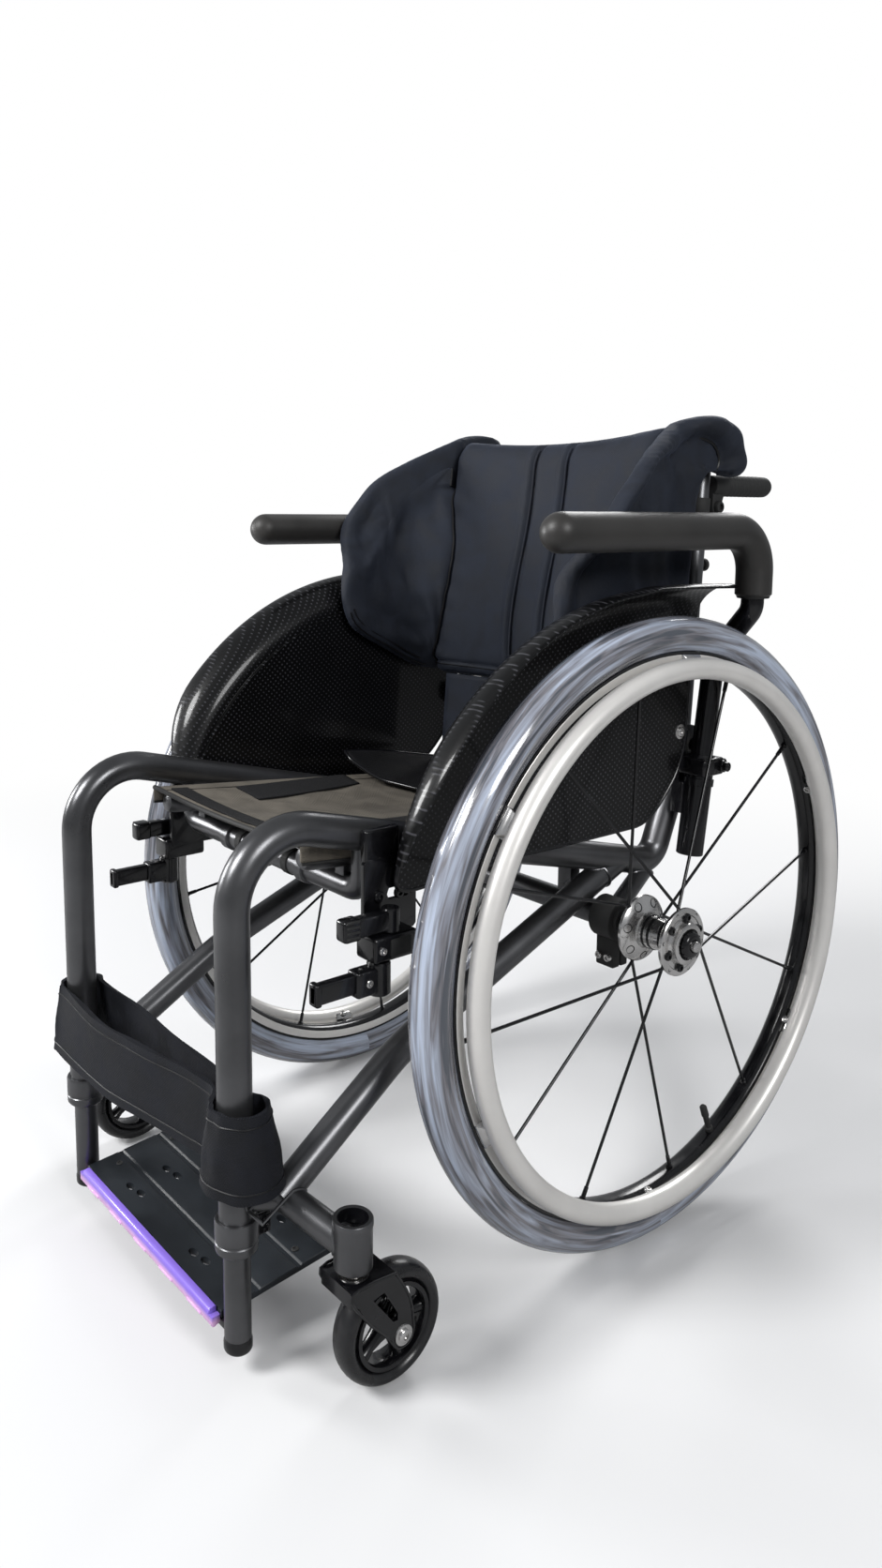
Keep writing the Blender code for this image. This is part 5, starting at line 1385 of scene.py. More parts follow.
def make_footrest():
    tubes = Piece("frame_grey")
    for _, side in SIDES:
        low = 0.018
        tubes.turned((side * FRAME_X, LEG_Y, 0), (0, 0, 1),
                     [(low + 0.012, 0.0100), (low + 0.012, 0.0112), (0.205, 0.0112), (0.205, 0.0100)], 36)
        tubes.turned((side * FRAME_X, LEG_Y, 0), (0, 0, 1),
                     [(low, 0.0), (low, 0.0092), (low + 0.0018, 0.0112), (low + 0.0035, 0.0119),
                      (low + 0.0095, 0.0119), (low + 0.0108, 0.0114), (low + 0.0125, 0.0113)], 36,
                     key="black_lacquer")
    tubes.done("footrest_tubes", "footrest", ("footrest_tube_left", "footrest_tube_right"), "frame_paint")
    front, rear = PLATE_FRONT_Y, PLATE_REAR_Y
    outline = [(front, PLATE_FRONT_Z - 0.001), (front + 0.001, 0.0455)]
    for groove in (front + 0.036, front + 0.078):
        for off, dip in ((-0.0040, 0.0), (-0.0030, -0.0004), (-0.0018, -0.0018), (0.0018, -0.0018),
                         (0.0030, -0.0004), (0.0040, 0.0)):
            outline.append((groove + off, plate_z(groove + off) + dip))
    outline += [(rear - 0.0015, plate_z(rear)), (rear, plate_z(rear) - 0.0012), (rear, 0.0505),
                (rear - 0.0012, 0.0497), (front + 0.001, 0.0390), (front, 0.0400)]
    board = Piece("plate_grey").plate(outline, "X", -0.131, 0.131, 0.0006, 1).done("foot_board", None)
    tool = Piece("plate_grey")
    for row in (front + 0.019, front + 0.058, front + 0.098):
        for column in (-0.062, 0.062):
            for nudge in (-0.0085, 0.0085):
                at = (column + nudge, row + nudge * 0.15, 0.0)
                points, faces = turned(at, (0, 0, 1), [(0.03, 0.0048), (0.07, 0.0048)], 20)
                oval = [(x + (x - at[0]) * 0.35, at[1] + (y - at[1]) * 0.72, z) for x, y, z in points]
                tool.add((oval, faces))
    cut_out(board, tool.done("foot_board_slots", None))
    settle(board, "footrest", ("footplate",))
    lugs = Piece("black_lacquer")
    for _, side in SIDES:
        lugs.block((side * 0.118, -0.4205, 0.0300), (side * 0.1372, -0.4030, 0.0395), 0.002, 3)
        lugs.bolt((side * 0.1265, -0.4105, 0.0302), (0, 0, -1), 0.0038, 0.0022, key="hub_alloy")
        for y in (-0.395, -0.335):
            lugs.bolt((side * 0.112, y, plate_z(y) - 0.0001), (0, -0.09, 1), 0.0034, 0.0012,
                      key="black_plastic")
    lugs.done("foot_board_lugs", "footrest", slot="black_paint")
    y = front - 0.0003
    outline = [(y, 0.0360), (y, 0.0462), (y - 0.0010, 0.0472), (y - 0.0035, 0.0471), (y - 0.0060, 0.0465),
               (y - 0.0076, 0.0450), (y - 0.0080, 0.0435), (y - 0.0080, 0.0350), (y - 0.0072, 0.0338),
               (y - 0.0050, 0.0335)]
    strip = Piece("strip_lilac")
    strip.plate(outline, "X", -0.1245, 0.1245, 0.0008)
    for side in (-1, 1):
        notch = [(a, min(b, 0.0425)) for a, b in outline]
        strip.plate(notch, "X", side * 0.1240, side * 0.1305, 0.0008)
    for k in range(5):
        x = -0.1 + 0.05 * k
        strip.block((x - 0.012, y - 0.0086, 0.0345), (x + 0.012, y - 0.0076, 0.0368), 0.0003, 1)
    strip.done("foot_board_edge", "footrest", ("footplate_strip",), "lilac")


def make_leg_clamp(word, side):
    piece = Piece("black_lacquer")
    ring = [(0.107, 0.0115), (0.107, 0.0160), (0.1085, 0.0174), (0.1105, 0.0178), (0.1150, 0.0178),
            (0.1158, 0.0171), (0.1172, 0.0171), (0.1180, 0.0178), (0.1325, 0.0178), (0.1345, 0.0170),
            (0.1345, 0.0146), (0.1177, 0.0146), (0.1177, 0.0115)]
    piece.turned((side * FRAME_X, LEG_Y, 0), (0, 0, 1), ring, 40, ring=True, key="frame_grey")
    for low, high in ((-0.005, -0.0006), (0.0006, 0.005)):
        piece.block((side * (FRAME_X + low), LEG_Y + 0.0150, 0.1125),
                    (side * (FRAME_X + high), LEG_Y + 0.0300, 0.1300), 0.0012)
    for z in (0.1165, 0.1255):
        piece.bolt((side * (FRAME_X + 0.0048), LEG_Y + 0.0240, z), (side, 0, 0), 0.0028, 0.0018)
    piece.done(f"leg_clamp_{word}", "frame", (f"clamp_collar_{word}",), "frame_paint")


# Brakes


def make_brake(word, side):
    """Side plate on the seat tube with its slot and bolts, the swinging lever and the tyre shoe."""
    outline = [(-0.302, 0.348), (-0.300, 0.345), (-0.249, 0.345), (-0.246, 0.348), (-0.246, 0.405),
               (-0.250, 0.412), (-0.298, 0.412), (-0.302, 0.408)]
    base = Piece("black_lacquer").plate(outline, "X", side * 0.163, side * 0.168, 0.0009)
    base = base.done(f"brake_side_{word}", None)
    slot = [(-0.278, 0.379), (-0.276, 0.374), (-0.256, 0.374), (-0.254, 0.379), (-0.256, 0.384),
            (-0.276, 0.384)]
    cut_out(base, Piece("black_lacquer").plate(slot, "X", 0.150 * side, 0.180 * side,
                                               0.0).done("brake_slot", None))
    settle(base, "frame", (f"brake_plate_{word}",))
    body = Piece("black_lacquer")
    body.block((side * 0.1595, -0.300, 0.402), (side * 0.1678, -0.264, 0.436), 0.002, 3)
    body.block((side * 0.164, -0.308, 0.3315), (side * 0.190, -0.262, 0.3530), 0.003, 3)
    body.block((side * 0.166, -0.292, 0.3345), (side * 0.1915, -0.270, 0.3500), 0.002, 2,
               key="black_plastic")
    for y, z in ((-0.287, 0.379), (-0.266, 0.379)):
        body.bolt((side * 0.168, y, z), (side, 0, 0), 0.0050, 0.0032)
    body.bolt((side * 0.190, -0.300, 0.342), (side, 0, 0), 0.0036, 0.0022, key="hub_alloy")
    body.done(f"brake_body_{word}", "frame", slot="black_paint")

    lever = Piece("black_lacquer")
    x, y = side * 0.181, -0.297
    lever.turned((x, y, 0), (0, 0, 1), [(0.303, 0), (0.303, 0.0085), (0.3045, 0.0100), (0.3295, 0.0100),
                                        (0.3310, 0.0088), (0.3310, 0)], 32)
    lever.block((x - 0.0075, y - 0.027, 0.306), (x + 0.0075, y, 0.328), 0.0025, 3)
    lever.block((x - 0.0045, y - 0.066, 0.3095), (x + 0.0045, y - 0.020, 0.3265), 0.0022, 3)
    lever.block((x - 0.0058, y - 0.066, 0.3085), (x + 0.0058, y - 0.060, 0.3275), 0.0020, 3)
    lever.bolt((x, y, 0.3035), (0, 0, -1), 0.0050, 0.0025, key="hub_alloy")
    lever.bolt((x + side * 0.0072, y - 0.015, 0.317), (side, 0, 0), 0.0034, 0.0016, key="hub_alloy")
    lever.done(f"lever_{word}", f"brake_lever_{word}", (f"brake_lever_{word}",), "gloss_plastic")

    shoe = Piece("black_lacquer")
    y = -0.285
    shoe.turned((x, y, 0), (0, 0, 1), [(0.3535, 0), (0.3535, 0.0070), (0.3545, 0.0078), (0.3725, 0.0078),
                                       (0.3735, 0.0070), (0.3735, 0)], 32)
    shoe.block((x - 0.0055, y - 0.040, 0.3555), (x + 0.0055, y, 0.3720), 0.002, 3)
    shoe.block((x - 0.0070, y - 0.051, 0.3545), (x + 0.0070, y - 0.034, 0.3730), 0.003, 3)
    for k in range(4):
        z = 0.3572 + 0.0044 * k
        shoe.block((x + side * 0.0064, y - 0.049, z), (x + side * 0.0074, y - 0.036, z + 0.0022), 0.0004, 1,
                   key="black_plastic")
    shoe.done(f"shoe_{word}", f"brake_shoe_{word}", (f"brake_shoe_{word}",), "gloss_plastic")


# Casters


def make_caster(word, side):
    x, y = side * CASTER_STEM[0], CASTER_STEM[1]
    axle_y, axle_z = CASTER_AXLE
    fork = Piece("hub_alloy")
    crown = [(-0.3735, 0.1060), (-0.3450, 0.1062), (-0.3300, 0.1058), (-0.3285, 0.1030), (-0.345, 0.0985),
             (-0.362, 0.0890), (-0.3735, 0.0930)]
    fork.plate(crown, "X", x - 0.0205, x + 0.0205, 0.0015, 3, key="black_lacquer")
    blade = [(-0.3735, 0.1055), (-0.3350, 0.1058), (-0.3285, 0.1020), (-0.3160, 0.0780), (-0.3125, 0.0560),
             (-0.3130, 0.0480), (-0.3155, 0.0430), (-0.3200, 0.0402), (-0.3260, 0.0402), (-0.3310, 0.0430),
             (-0.3400, 0.0560), (-0.3600, 0.0790)]
    inner_slot = [(-0.3530, 0.0925), (-0.3420, 0.0945), (-0.3285, 0.0710), (-0.3285, 0.0650),
                  (-0.3330, 0.0655)]
    for face in (-1, 1):
        bm = bmesh.new()
        ends = []
        for at in (x + face * 0.0162, x + face * 0.0206):
            outer = [bm.verts.new((at, a, b)) for a, b in blade]
            inner = [bm.verts.new((at, a, b)) for a, b in inner_slot]
            ends.append((outer, inner))
        for outer, inner in ends:
            edges = []
            for loop in (outer, inner):
                edges += [bm.edges.new((loop[i], loop[(i + 1) % len(loop)])) for i in range(len(loop))]
            bmesh.ops.triangle_fill(bm, edges=edges, use_beauty=True, use_dissolve=False)
        for which in (0, 1):
            a, b = ends[0][which], ends[1][which]
            for i in range(len(a)):
                j = (i + 1) % len(a)
                bm.faces.new((a[i], a[j], b[j], b[i]))
        fork.add(lists_of(bm), "black_lacquer")
        rim = through([Vector((x + face * 0.0204, a, b)) for a, b in blade], 4, closed=True)
        fork.tube(rim, 0.0012, 8, closed=True, key="black_lacquer")
        fork.turned((x + face * 0.0206, axle_y, axle_z), (face, 0, 0),
                    [(0, 0.0088), (0.0012, 0.0084), (0.0014, 0.0060)], 28)
        fork.bolt((x + face * 0.0218, axle_y, axle_z), (face, 0, 0), 0.0056, 0.0027)
    fork.turned((x, axle_y, axle_z), (1, 0, 0), [(-0.021, 0.0036), (0.021, 0.0036)], 20)
    stem = [(0.1035, 0), (0.1040, 0.0125), (0.1066, 0.0125), (0.1068, 0.0072), (0.1078, 0.0072),
            (0.1080, 0.0096), (0.1108, 0.0096), (0.1112, 0.0088), (0.1380, 0.0088), (0.1380, 0)]
    fork.turned((x, y, 0), (0, 0, 1), stem, 32)
    fork.done(f"fork_{word}", f"caster_swivel_{word}", (f"caster_fork_{word}",), "black_paint")

    centre = (x, axle_y, axle_z)
    tyre = Piece("caster_rubber")
    profile = [(-0.0095, 0.0364)]
    for a in map(math.radians, evenly(-55, 290, 20)):
        profile.append((-0.012 * math.cos(a) * 0.98, 0.0428 + 0.0072 * math.sin(a)))
    profile.append((0.0095, 0.0364))
    tyre.turned(centre, (1, 0, 0), profile, 72, ring=True)
    tyre.done(f"small_tyre_{word}", f"caster_wheel_{word}", (f"caster_tyre_{word}",), "caster_tyre", 60.0)
    hub = Piece("black_lacquer")
    hub.turned(centre, (1, 0, 0), [(-0.0088, 0.0318), (-0.0100, 0.0326), (-0.0100, 0.0360),
                                   (0.0100, 0.0360), (0.0100, 0.0326), (0.0088, 0.0318)], 60, ring=True)
    hub.turned(centre, (1, 0, 0), [(-0.0145, 0.0045), (-0.0145, 0.0088), (-0.0135, 0.0100),
                                   (0.0135, 0.0100), (0.0145, 0.0088), (0.0145, 0.0045)], 40, ring=True)
    for a in full_turn(5):
        out, across = Vector((0, math.cos(a), math.sin(a))), Vector((0, -math.sin(a), math.cos(a)))
        rings = []
        for reach, wide, deep in ((0.0080, 0.0078, 0.0085), (0.0150, 0.0056, 0.0070),
                                  (0.0240, 0.0046, 0.0060), (0.0325, 0.0062, 0.0072)):
            rings.append([Vector(centre) + out * reach + across * wide * math.cos(t)
                          + Vector((deep * math.sin(t), 0, 0)) for t in full_turn(16)])
        hub.add(skin(rings))
    hub.done(f"small_wheel_{word}", f"caster_wheel_{word}", (f"caster_hub_{word}",), "gloss_plastic")


# Rear wheels


def on_wheel(side, x, radius, degrees):
    a = math.radians(degrees)
    return Vector((side * x, radius * math.cos(a), AXLE_Z + radius * math.sin(a)))


def make_tyre(word, side, radius):
    centre = (side * HUB_X, 0, AXLE_Z)
    profile = [(-0.0110, 0.2684), (-0.0122, 0.2700)]
    for a in map(math.radians, evenly(-42, 264, 44)):
        across, up = -0.018 * math.cos(a), radius - 0.0165 + 0.0165 * math.sin(a)
        for ridge in (0.2760, 0.2795, 0.2885):
            across += math.copysign(0.00035, across) * math.exp(-(((up - ridge) / 0.0010) ** 2)) * (
                    abs(across) < 0.0179)
        for groove in (0.0030, 0.0075, 0.0112):
            up -= 0.0008 * math.exp(-(((abs(across) - groove) / 0.0009) ** 2)) * (a > 0.5)
        profile.append((across, up))
    profile += [(0.0122, 0.2700), (0.0110, 0.2684)]
    piece = Piece("tyre_grey").turned(centre, (1, 0, 0), profile, 144, ring=True)
    piece.done(f"wheel_tyre_{word}", f"rear_wheel_{word}", (f"rear_tyre_{word}",), "tyre", 60.0)


def make_rim(word, side):
    centre = (side * HUB_X, 0, AXLE_Z)
    piece = Piece("black_lacquer")
    half = [(0.0115, 0.2680), (0.0118, 0.2660), (0.0115, 0.2600), (0.0100, 0.2565), (0.0065, 0.2535),
            (0.0030, 0.2527)]
    profile = [(-a, r) for a, r in half] + [(a, r) for a, r in reversed(half)]
    piece.turned(centre, (1, 0, 0), profile, 144, ring=True)
    for way in (-1, 1):
        band = [(way * 0.0117, 0.2655), (way * 0.0121, 0.2650), (way * 0.0120, 0.2606),
                (way * 0.0104, 0.2568), (way * 0.0100, 0.2570), (way * 0.0112, 0.2600)]
        piece.turned(centre, (1, 0, 0), band, 144, ring=True, key="rim_silver")
    piece.done(f"wheel_rim_{word}", f"rear_wheel_{word}", (f"rear_rim_{word}",), "black_paint")


def make_handrim(word, side):
    rim_x, rim_radius, bar_radius = 0.2538, 0.2538, 0.0098
    centre = (side * rim_x, 0, AXLE_Z)
    piece = Piece("hub_alloy")
    profile = [(bar_radius * math.cos(a), rim_radius + bar_radius * math.sin(a)) for a in full_turn(24)]
    piece.turned(centre, (1, 0, 0), profile, 160, ring=True, key="rim_silver")
    for k in range(6):
        turn = 26.0 + 60.0 * k
        along = on_wheel(side, 0, 1, turn + 90) - Vector((0, 0, AXLE_Z))
        out = on_wheel(side, 0, 1, turn) - Vector((0, 0, AXLE_Z))
        rings = []
        for x, r0, r1, wide in ((0.2405, 0.2530, 0.2655, 0.0130), (0.2425, 0.2510, 0.2655, 0.0130),
                                (0.2450, 0.2480, 0.2630, 0.0110), (0.2500, 0.2470, 0.2590, 0.0085)):
            ring = []
            for r, t in ((r0, -1), (r1, -1), (r1, 1), (r0, 1)):
                ring.append(on_wheel(side, x, r, turn) + along * t * wide)
            rings.append(ring)
        bm = bmesh.new()
        loops = [[bm.verts.new(p) for p in ring] for ring in rings]
        for a, b in zip(loops, loops[1:]):
            for i in range(4):
                bm.faces.new((a[i], a[(i + 1) % 4], b[(i + 1) % 4], b[i]))
        bm.faces.new(loops[0][::-1])
        bm.faces.new(loops[-1])
        bmesh.ops.bevel(bm, geom=bm.edges[:], offset=0.0008, segments=2, profile=0.5, affect="EDGES")
        piece.add(lists_of(bm))
        piece.bolt(on_wheel(side, 0.2440, 0.2500, turn), -out, 0.0042, 0.0042)
    piece.done(f"push_rim_{word}", f"rear_wheel_{word}", (f"handrim_{word}",), "silver")


def make_hub(word, side):
    """Hub shell with a coned inner flange, a bolted outer flange and twelve dark spokes in their nipples."""
    axis = (side, 0, 0)
    centre = (0, 0, AXLE_Z)
    piece = Piece("black_lacquer")
    shell = [(0.2045, 0.0070), (0.2045, 0.0125), (0.2060, 0.0132), (0.2080, 0.0135), (0.2084, 0.0300),
             (0.2095, 0.0320), (0.2120, 0.0320), (0.2135, 0.0308), (0.2170, 0.0220), (0.2185, 0.0175),
             (0.2215, 0.0160), (0.2400, 0.0145), (0.2490, 0.0145), (0.2520, 0.0165), (0.2540, 0.0250),
             (0.2550, 0.0312), (0.2560, 0.0320), (0.2582, 0.0320), (0.2592, 0.0310), (0.2594, 0.0262),
             (0.2586, 0.0255), (0.2586, 0.0215), (0.2600, 0.0205), (0.2630, 0.0200), (0.2655, 0.0192),
             (0.2660, 0.0180), (0.2660, 0.0148), (0.2640, 0.0142), (0.2640, 0.0070)]
    piece.turned(centre, axis, shell, 64, ring=True, key="hub_alloy")
    for x, r in ((0.2240, 0.0163), (0.2300, 0.0160), (0.2420, 0.0152)):
        piece.turned(centre, axis, [(x - 0.0016, r - 0.0012), (x - 0.0010, r), (x + 0.0010, r),
                                    (x + 0.0016, r - 0.0012)], 48)
    for k in range(7):
        turn = 12 + k * 360 / 7
        at, out = on_wheel(side, 0.2152, 0.0258, turn), on_wheel(0, 0, 1, turn) - Vector((0, 0, AXLE_Z))
        face = Vector((side * 0.0088, 0, 0)) + out * 0.0040
        piece.turned(at - face.normalized() * 0.0012, face,
                     [(0, 0.0046), (0.0016, 0.0046), (0.0017, 0.0040), (0.0009, 0.0032), (0.0007, 0)], 20)
    for k in range(6):
        at = on_wheel(side, 0.2586, 0.0236, 20 + k * 60)
        piece.bolt(at, axis, 0.0040, 0.0032)
        at = on_wheel(side, 0.2590, 0.0288, 50 + k * 60)
        piece.turned(at, axis, [(-0.0004, 0.0019), (0.0003, 0.0019), (0.0003, 0.0012), (0.0001, 0)], 14)
    piece.turned(centre, axis, [(0.2620, 0.0150), (0.2648, 0.0150), (0.2654, 0.0140), (0.2640, 0.0100),
                                (0.2640, 0.0070)], 48)
    for k in range(12):
        turn = 8.0 + k * 30.0
        flange_x = 0.2110 if k % 2 else 0.2568
        lead = 38.0 if (k // 2) % 2 else -38.0
        start = on_wheel(side, flange_x, 0.0275, turn + lead)
        end = on_wheel(side, HUB_X, 0.2540, turn)
        away = (end - start).normalized()
        piece.tube([start, start + away * 0.001, end], [0.0018, 0.0015, 0.0015], 10)
        nip = [(0.0, 0.0015), (0.0006, 0.0020), (0.0105, 0.0021), (0.0110, 0.0030), (0.0150, 0.0032)]
        piece.turned(end - away * 0.0145, away, nip, 14)
        elbow = [(-0.002, 0.0019), (-0.0015, 0.0024), (0.0022, 0.0024), (0.0030, 0.0014)]
        piece.turned(start, away, elbow, 12)
    valve = on_wheel(side, HUB_X, 0.2530, 293.0)
    inward = (Vector((side * HUB_X, 0, AXLE_Z)) - valve).normalized()
    piece.turned(valve, inward, [(-0.004, 0.0042), (0.004, 0.0042), (0.005, 0.0030), (0.018, 0.0030),
                                 (0.020, 0.0038), (0.031, 0.0036), (0.033, 0.0022), (0.033, 0)], 18,
                 key="black_plastic")
    piece.done(f"wheel_hub_{word}", f"rear_wheel_{word}", (f"rear_hub_{word}",), "alloy")


def make_quick_release(word, side):
    axis, centre = (side, 0, 0), (0, 0, AXLE_Z)
    pin = [(0.1150, 0), (0.1150, 0.0055), (0.1158, 0.00635), (0.2664, 0.00635), (0.2664, 0.0125),
           (0.2668, 0.0130), (0.2695, 0.0122), (0.2708, 0.0110), (0.2715, 0.0095), (0.2715, 0.0062),
           (0.2705, 0.0056), (0.2545, 0.0056), (0.2545, 0)]
    piece = Piece("black_lacquer").turned(centre, axis, pin, 40)
    for k in range(12):
        a = math.radians(30 * k)
        at = Vector((side * 0.2682, 0.0128 * math.cos(a), AXLE_Z + 0.0128 * math.sin(a)))
        piece.turned(at, axis, [(-0.0012, 0.0006), (0.0010, 0.0006)], 8)
    piece.done(f"quick_pin_{word}", "frame", (f"axle_pin_{word}",), "black_paint")
    button = [(0.2590, 0), (0.2590, 0.0051), (0.2738, 0.0051), (0.2750, 0.0046), (0.2756, 0.0034),
              (0.2753, 0.0016), (0.2749, 0)]
    Piece("hub_alloy").turned(centre, axis, button, 32).done(f"quick_button_{word}", f"axle_button_{word}",
                                                             (f"axle_button_{word}",), "alloy")


# Stage


def area_light(name, at, towards, width, power):
    data = bpy.data.lights.new(name, "AREA")
    data.shape, data.size, data.energy = "DISK", width, power
    lamp = bpy.data.objects.new(name, data)
    lamp.location = at
    lamp.rotation_mode = "QUATERNION"
    lamp.rotation_quaternion = (Vector(towards) - Vector(at)).to_track_quat("-Z", "Y")
    bpy.context.scene.collection.objects.link(lamp)


def make_stage(lamp_power, world_strength):
    bm = bmesh.new()
    bmesh.ops.create_grid(bm, x_segments=2, y_segments=2, size=14.0)
    mesh = bpy.data.meshes.new("studio_floor")
    bm.to_mesh(mesh)
    bm.free()
    mesh.materials.append(finish("floor_pale"))
    floor = bpy.data.objects.new("studio_floor", mesh)
    floor.location.z = -0.0005
    bpy.context.scene.collection.objects.link(floor)
    area_light("key_lamp", (-0.5, -2.5, 2.3), (0, 0, 0.4), 1.1, 80 * lamp_power)
    area_light("side_lamp", (2.6, -0.4, 1.9), (0, 0, 0.4), 1.0, 34 * lamp_power)
    area_light("rear_lamp", (-1.2, 2.5, 2.1), (0, 0, 0.5), 1.2, 38 * lamp_power)
    area_light("strip_lamp", (-2.2, -1.5, 1.0), (0, 0, 0.4), 0.8, 34 * lamp_power)
    world = bpy.data.worlds.new("studio_air")
    bpy.context.scene.world = world
    world.use_nodes = True
    tree = world.node_tree
    tree.nodes.clear()
    lit, seen, mix, out = (tree.nodes.new("ShaderNode" + kind)
                           for kind in ("Background", "Background", "MixShader", "OutputWorld"))
    lit.inputs["Color"].default_value = (0.93, 0.96, 1.0, 1.0)
    lit.inputs["Strength"].default_value = world_strength
    seen.inputs["Color"].default_value = (1.0, 1.0, 1.0, 1.0)
    seen.inputs["Strength"].default_value = 1.0
    path = tree.nodes.new("ShaderNodeLightPath")
    tree.links.new(path.outputs["Is Camera Ray"], mix.inputs[0])
    tree.links.new(lit.outputs[0], mix.inputs[1])
    tree.links.new(seen.outputs[0], mix.inputs[2])
    tree.links.new(mix.outputs[0], out.inputs[0])


def make_camera():
    data = bpy.data.cameras.new("photo_camera")
    data.sensor_width = SENSOR_MM
    data.lens = SENSOR_MM * FOCAL_PX / PICTURE[1]
    data.shift_x = (PICTURE[0] / 2 - PRINCIPAL_POINT[0]) / PICTURE[1]
    data.shift_y = (PRINCIPAL_POINT[1] - PICTURE[1] / 2) / PICTURE[1]
    data.clip_start, data.clip_end = 0.02, 60.0
    camera = bpy.data.objects.new("photo_camera", data)
    camera.location = EYE
    camera.rotation_mode = "QUATERNION"
    camera.rotation_quaternion = Vector(GAZE).to_track_quat("-Z", "Y")
    bpy.context.scene.collection.objects.link(camera)
    bpy.context.scene.camera = camera
    bpy.context.scene.view_settings.view_transform = "Standard"


# Settings and operators


def tint(name, default):
    return bpy.props.FloatVectorProperty(name=name, description=f"Colour of the {name.lower()}",
                                         subtype="COLOR", size=3, min=0.0, max=1.0, default=default)


class WheelchairSizes(bpy.types.PropertyGroup):
    """Sizes a user may change without leaving the frame."""

    tube_radius: bpy.props.FloatProperty(name="Tube radius",
                                         description="Radius of the two bent side tubes", default=0.0143,
                                         min=0.0135, max=0.0145, unit="LENGTH")
    wheel_radius: bpy.props.FloatProperty(name="Wheel radius", description="Radius over the rear tyre",
                                          default=0.300, min=0.298, max=0.300, unit="LENGTH")
    foam_radius: bpy.props.FloatProperty(name="Arm foam radius",
                                         description="Radius of the armrest's foam sleeve", default=0.0175,
                                         min=0.015, max=0.018, unit="LENGTH")
    lamp_power: bpy.props.FloatProperty(name="Lamp power",
                                        description="Power of the studio lamps against their usual one",
                                        default=1.0, min=0.1, max=4.0)
    world_strength: bpy.props.FloatProperty(name="Room light",
                                            description="Strength of the even light from all round",
                                            default=0.32, min=0.0, max=2.0)


class WheelchairColours(bpy.types.PropertyGroup):
    """Colours of the finishes."""

    frame_grey: tint("Frame tubes", (0.120, 0.121, 0.126))
    black_lacquer: tint("Gloss black parts", (0.004, 0.004, 0.005))
    black_plastic: tint("Matt black parts", (0.009, 0.009, 0.010))
    arm_foam: tint("Armrest foam", (0.024, 0.0225, 0.021))
    back_cloth: tint("Back cloth", (0.0130, 0.0162, 0.0250))
    thread: tint("Stitching", (0.003, 0.003, 0.004))
    seat_cloth: tint("Seat canvas", (0.135, 0.120, 0.098))
    skirt_black: tint("Seat flap", (0.004, 0.004, 0.005))
    strap_black: tint("Calf band", (0.0058, 0.0066, 0.0100))
    loop_tape: tint("Hook tape", (0.004, 0.004, 0.005))
    carbon_black: tint("Side guards", (0.0032, 0.0032, 0.0036))
    rim_silver: tint("Push rims", (0.860, 0.840, 0.810))
    hub_alloy: tint("Hubs and bolts", (0.680, 0.670, 0.660))
    tyre_grey: tint("Rear tyres", (0.190, 0.215, 0.265))
    caster_rubber: tint("Caster tyres", (0.006, 0.006, 0.007))
    plate_grey: tint("Foot board", (0.012, 0.015, 0.019))
    strip_lilac: tint("Foot board edge", (0.270, 0.170, 0.740))
    floor_pale: tint("Floor", (0.800, 0.800, 0.805))


class BuildFrame(bpy.types.Operator):
    """Side tubes, cross frame, axle bar and its clamps"""

    bl_idname = "wheelchair.build_frame"
    bl_label = "Build frame"

    def execute(self, context):
        make_cross_frame()
        for word, side in SIDES:
            make_side_frame(word, side, context.scene.wheelchair_sizes.tube_radius)
            make_axle_clamp(word, side)
            make_leg_clamp(word, side)
            make_corner(word, side)
        return {"FINISHED"}


class BuildArmrests(bpy.types.Operator):
    """Armrests with foam sleeves, and the carbon side guards"""

    bl_idname = "wheelchair.build_armrests"
    bl_label = "Build armrests and guards"

    def execute(self, context):
        for word, side in SIDES:
            make_armrest(word, side, context.scene.wheelchair_sizes.foam_radius)
            make_guard(word, side)
        return {"FINISHED"}


class BuildBackrest(bpy.types.Operator):
    """Back posts, push handles, padded back, wings and lower cloth"""

    bl_idname = "wheelchair.build_backrest"
    bl_label = "Build backrest"

    def execute(self, context):
        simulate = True
        make_back_frame()
        cushion = make_back_pad(simulate)
        make_lower_panel()
        for word, side in SIDES:
            make_push_handle(word, side)
            make_gusset(word, side, cushion, make_wing(word, side, simulate))
        return {"FINISHED"}


class BuildSeat(bpy.types.Operator):
    """Seat canvas, its rear flap and the calf band"""

    bl_idname = "wheelchair.build_seat"
    bl_label = "Build seat"

    def execute(self, context):
        make_sling()
        make_skirt()
        make_strap()
        return {"FINISHED"}


class BuildFootrest(bpy.types.Operator):
    """Footrest tubes, foot board and its coloured edge"""

    bl_idname = "wheelchair.build_footrest"
    bl_label = "Build footrest"

    def execute(self, context):
        make_footrest()
        return {"FINISHED"}


class BuildBrakes(bpy.types.Operator):
    """Brake plates, levers and shoes"""

    bl_idname = "wheelchair.build_brakes"
    bl_label = "Build brakes"

    def execute(self, context):
        for word, side in SIDES:
            make_brake(word, side)
        return {"FINISHED"}


class BuildCasters(bpy.types.Operator):
    """Caster forks and their small wheels"""

    bl_idname = "wheelchair.build_casters"
    bl_label = "Build casters"

    def execute(self, context):
        for word, side in SIDES:
            make_caster(word, side)
        return {"FINISHED"}


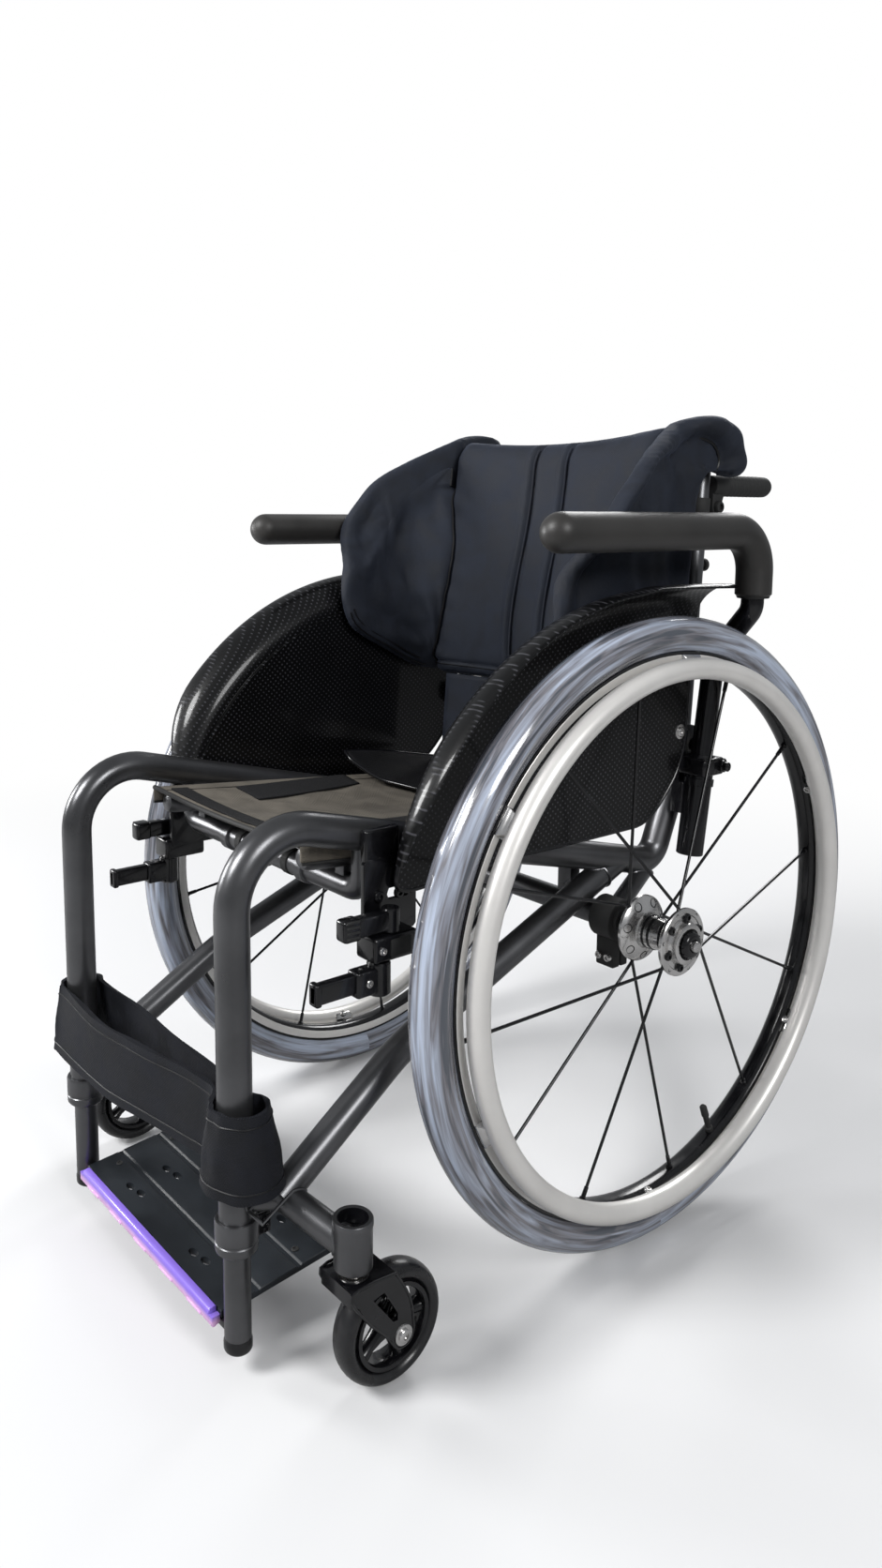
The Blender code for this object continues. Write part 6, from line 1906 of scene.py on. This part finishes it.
class BuildRearWheels(bpy.types.Operator):
    """Tyres, rims, push rims, spoked hubs and quick-release pins"""

    bl_idname = "wheelchair.build_rear_wheels"
    bl_label = "Build rear wheels"

    def execute(self, context):
        for word, side in SIDES:
            make_tyre(word, side, context.scene.wheelchair_sizes.wheel_radius)
            make_rim(word, side)
            make_handrim(word, side)
            make_hub(word, side)
            make_quick_release(word, side)
        return {"FINISHED"}


class BuildStage(bpy.types.Operator):
    """Pale floor, soft lamps and the photograph's camera"""

    bl_idname = "wheelchair.build_stage"
    bl_label = "Build stage"

    def execute(self, context):
        sizes = context.scene.wheelchair_sizes
        make_stage(sizes.lamp_power, sizes.world_strength)
        make_camera()
        return {"FINISHED"}


BUILDERS = (BuildStage, BuildFrame, BuildRearWheels, BuildCasters, BuildFootrest, BuildBrakes,
            BuildArmrests, BuildSeat, BuildBackrest)


class WheelchairPanel(bpy.types.Panel):
    """Lists the wheelchair's builders, sizes and colours"""

    bl_idname = "VIEW3D_PT_wheelchair"
    bl_label = "Rigid Wheelchair"
    bl_space_type = "VIEW_3D"
    bl_region_type = "UI"
    bl_category = "Wheelchair"

    def draw(self, context):
        for builder in BUILDERS:
            self.layout.operator(builder.bl_idname)
        for group in (context.scene.wheelchair_sizes, context.scene.wheelchair_colours):
            for name in type(group).__annotations__:
                self.layout.prop(group, name)


CLASSES = (WheelchairSizes, WheelchairColours, *BUILDERS, WheelchairPanel)


def register():
    for item in CLASSES:
        bpy.utils.register_class(item)
    bpy.types.Scene.wheelchair_sizes = bpy.props.PointerProperty(type=WheelchairSizes)
    bpy.types.Scene.wheelchair_colours = bpy.props.PointerProperty(type=WheelchairColours)


def unregister():
    del bpy.types.Scene.wheelchair_sizes
    del bpy.types.Scene.wheelchair_colours
    for item in reversed(CLASSES):
        bpy.utils.unregister_class(item)


def main():
    register()
    for builder in BUILDERS:
        group, name = builder.bl_idname.split(".")
        if getattr(getattr(bpy.ops, group), name)() != {"FINISHED"}:
            raise RuntimeError(f"{builder.bl_label} stopped early")


if __name__ == "__main__":
    main()
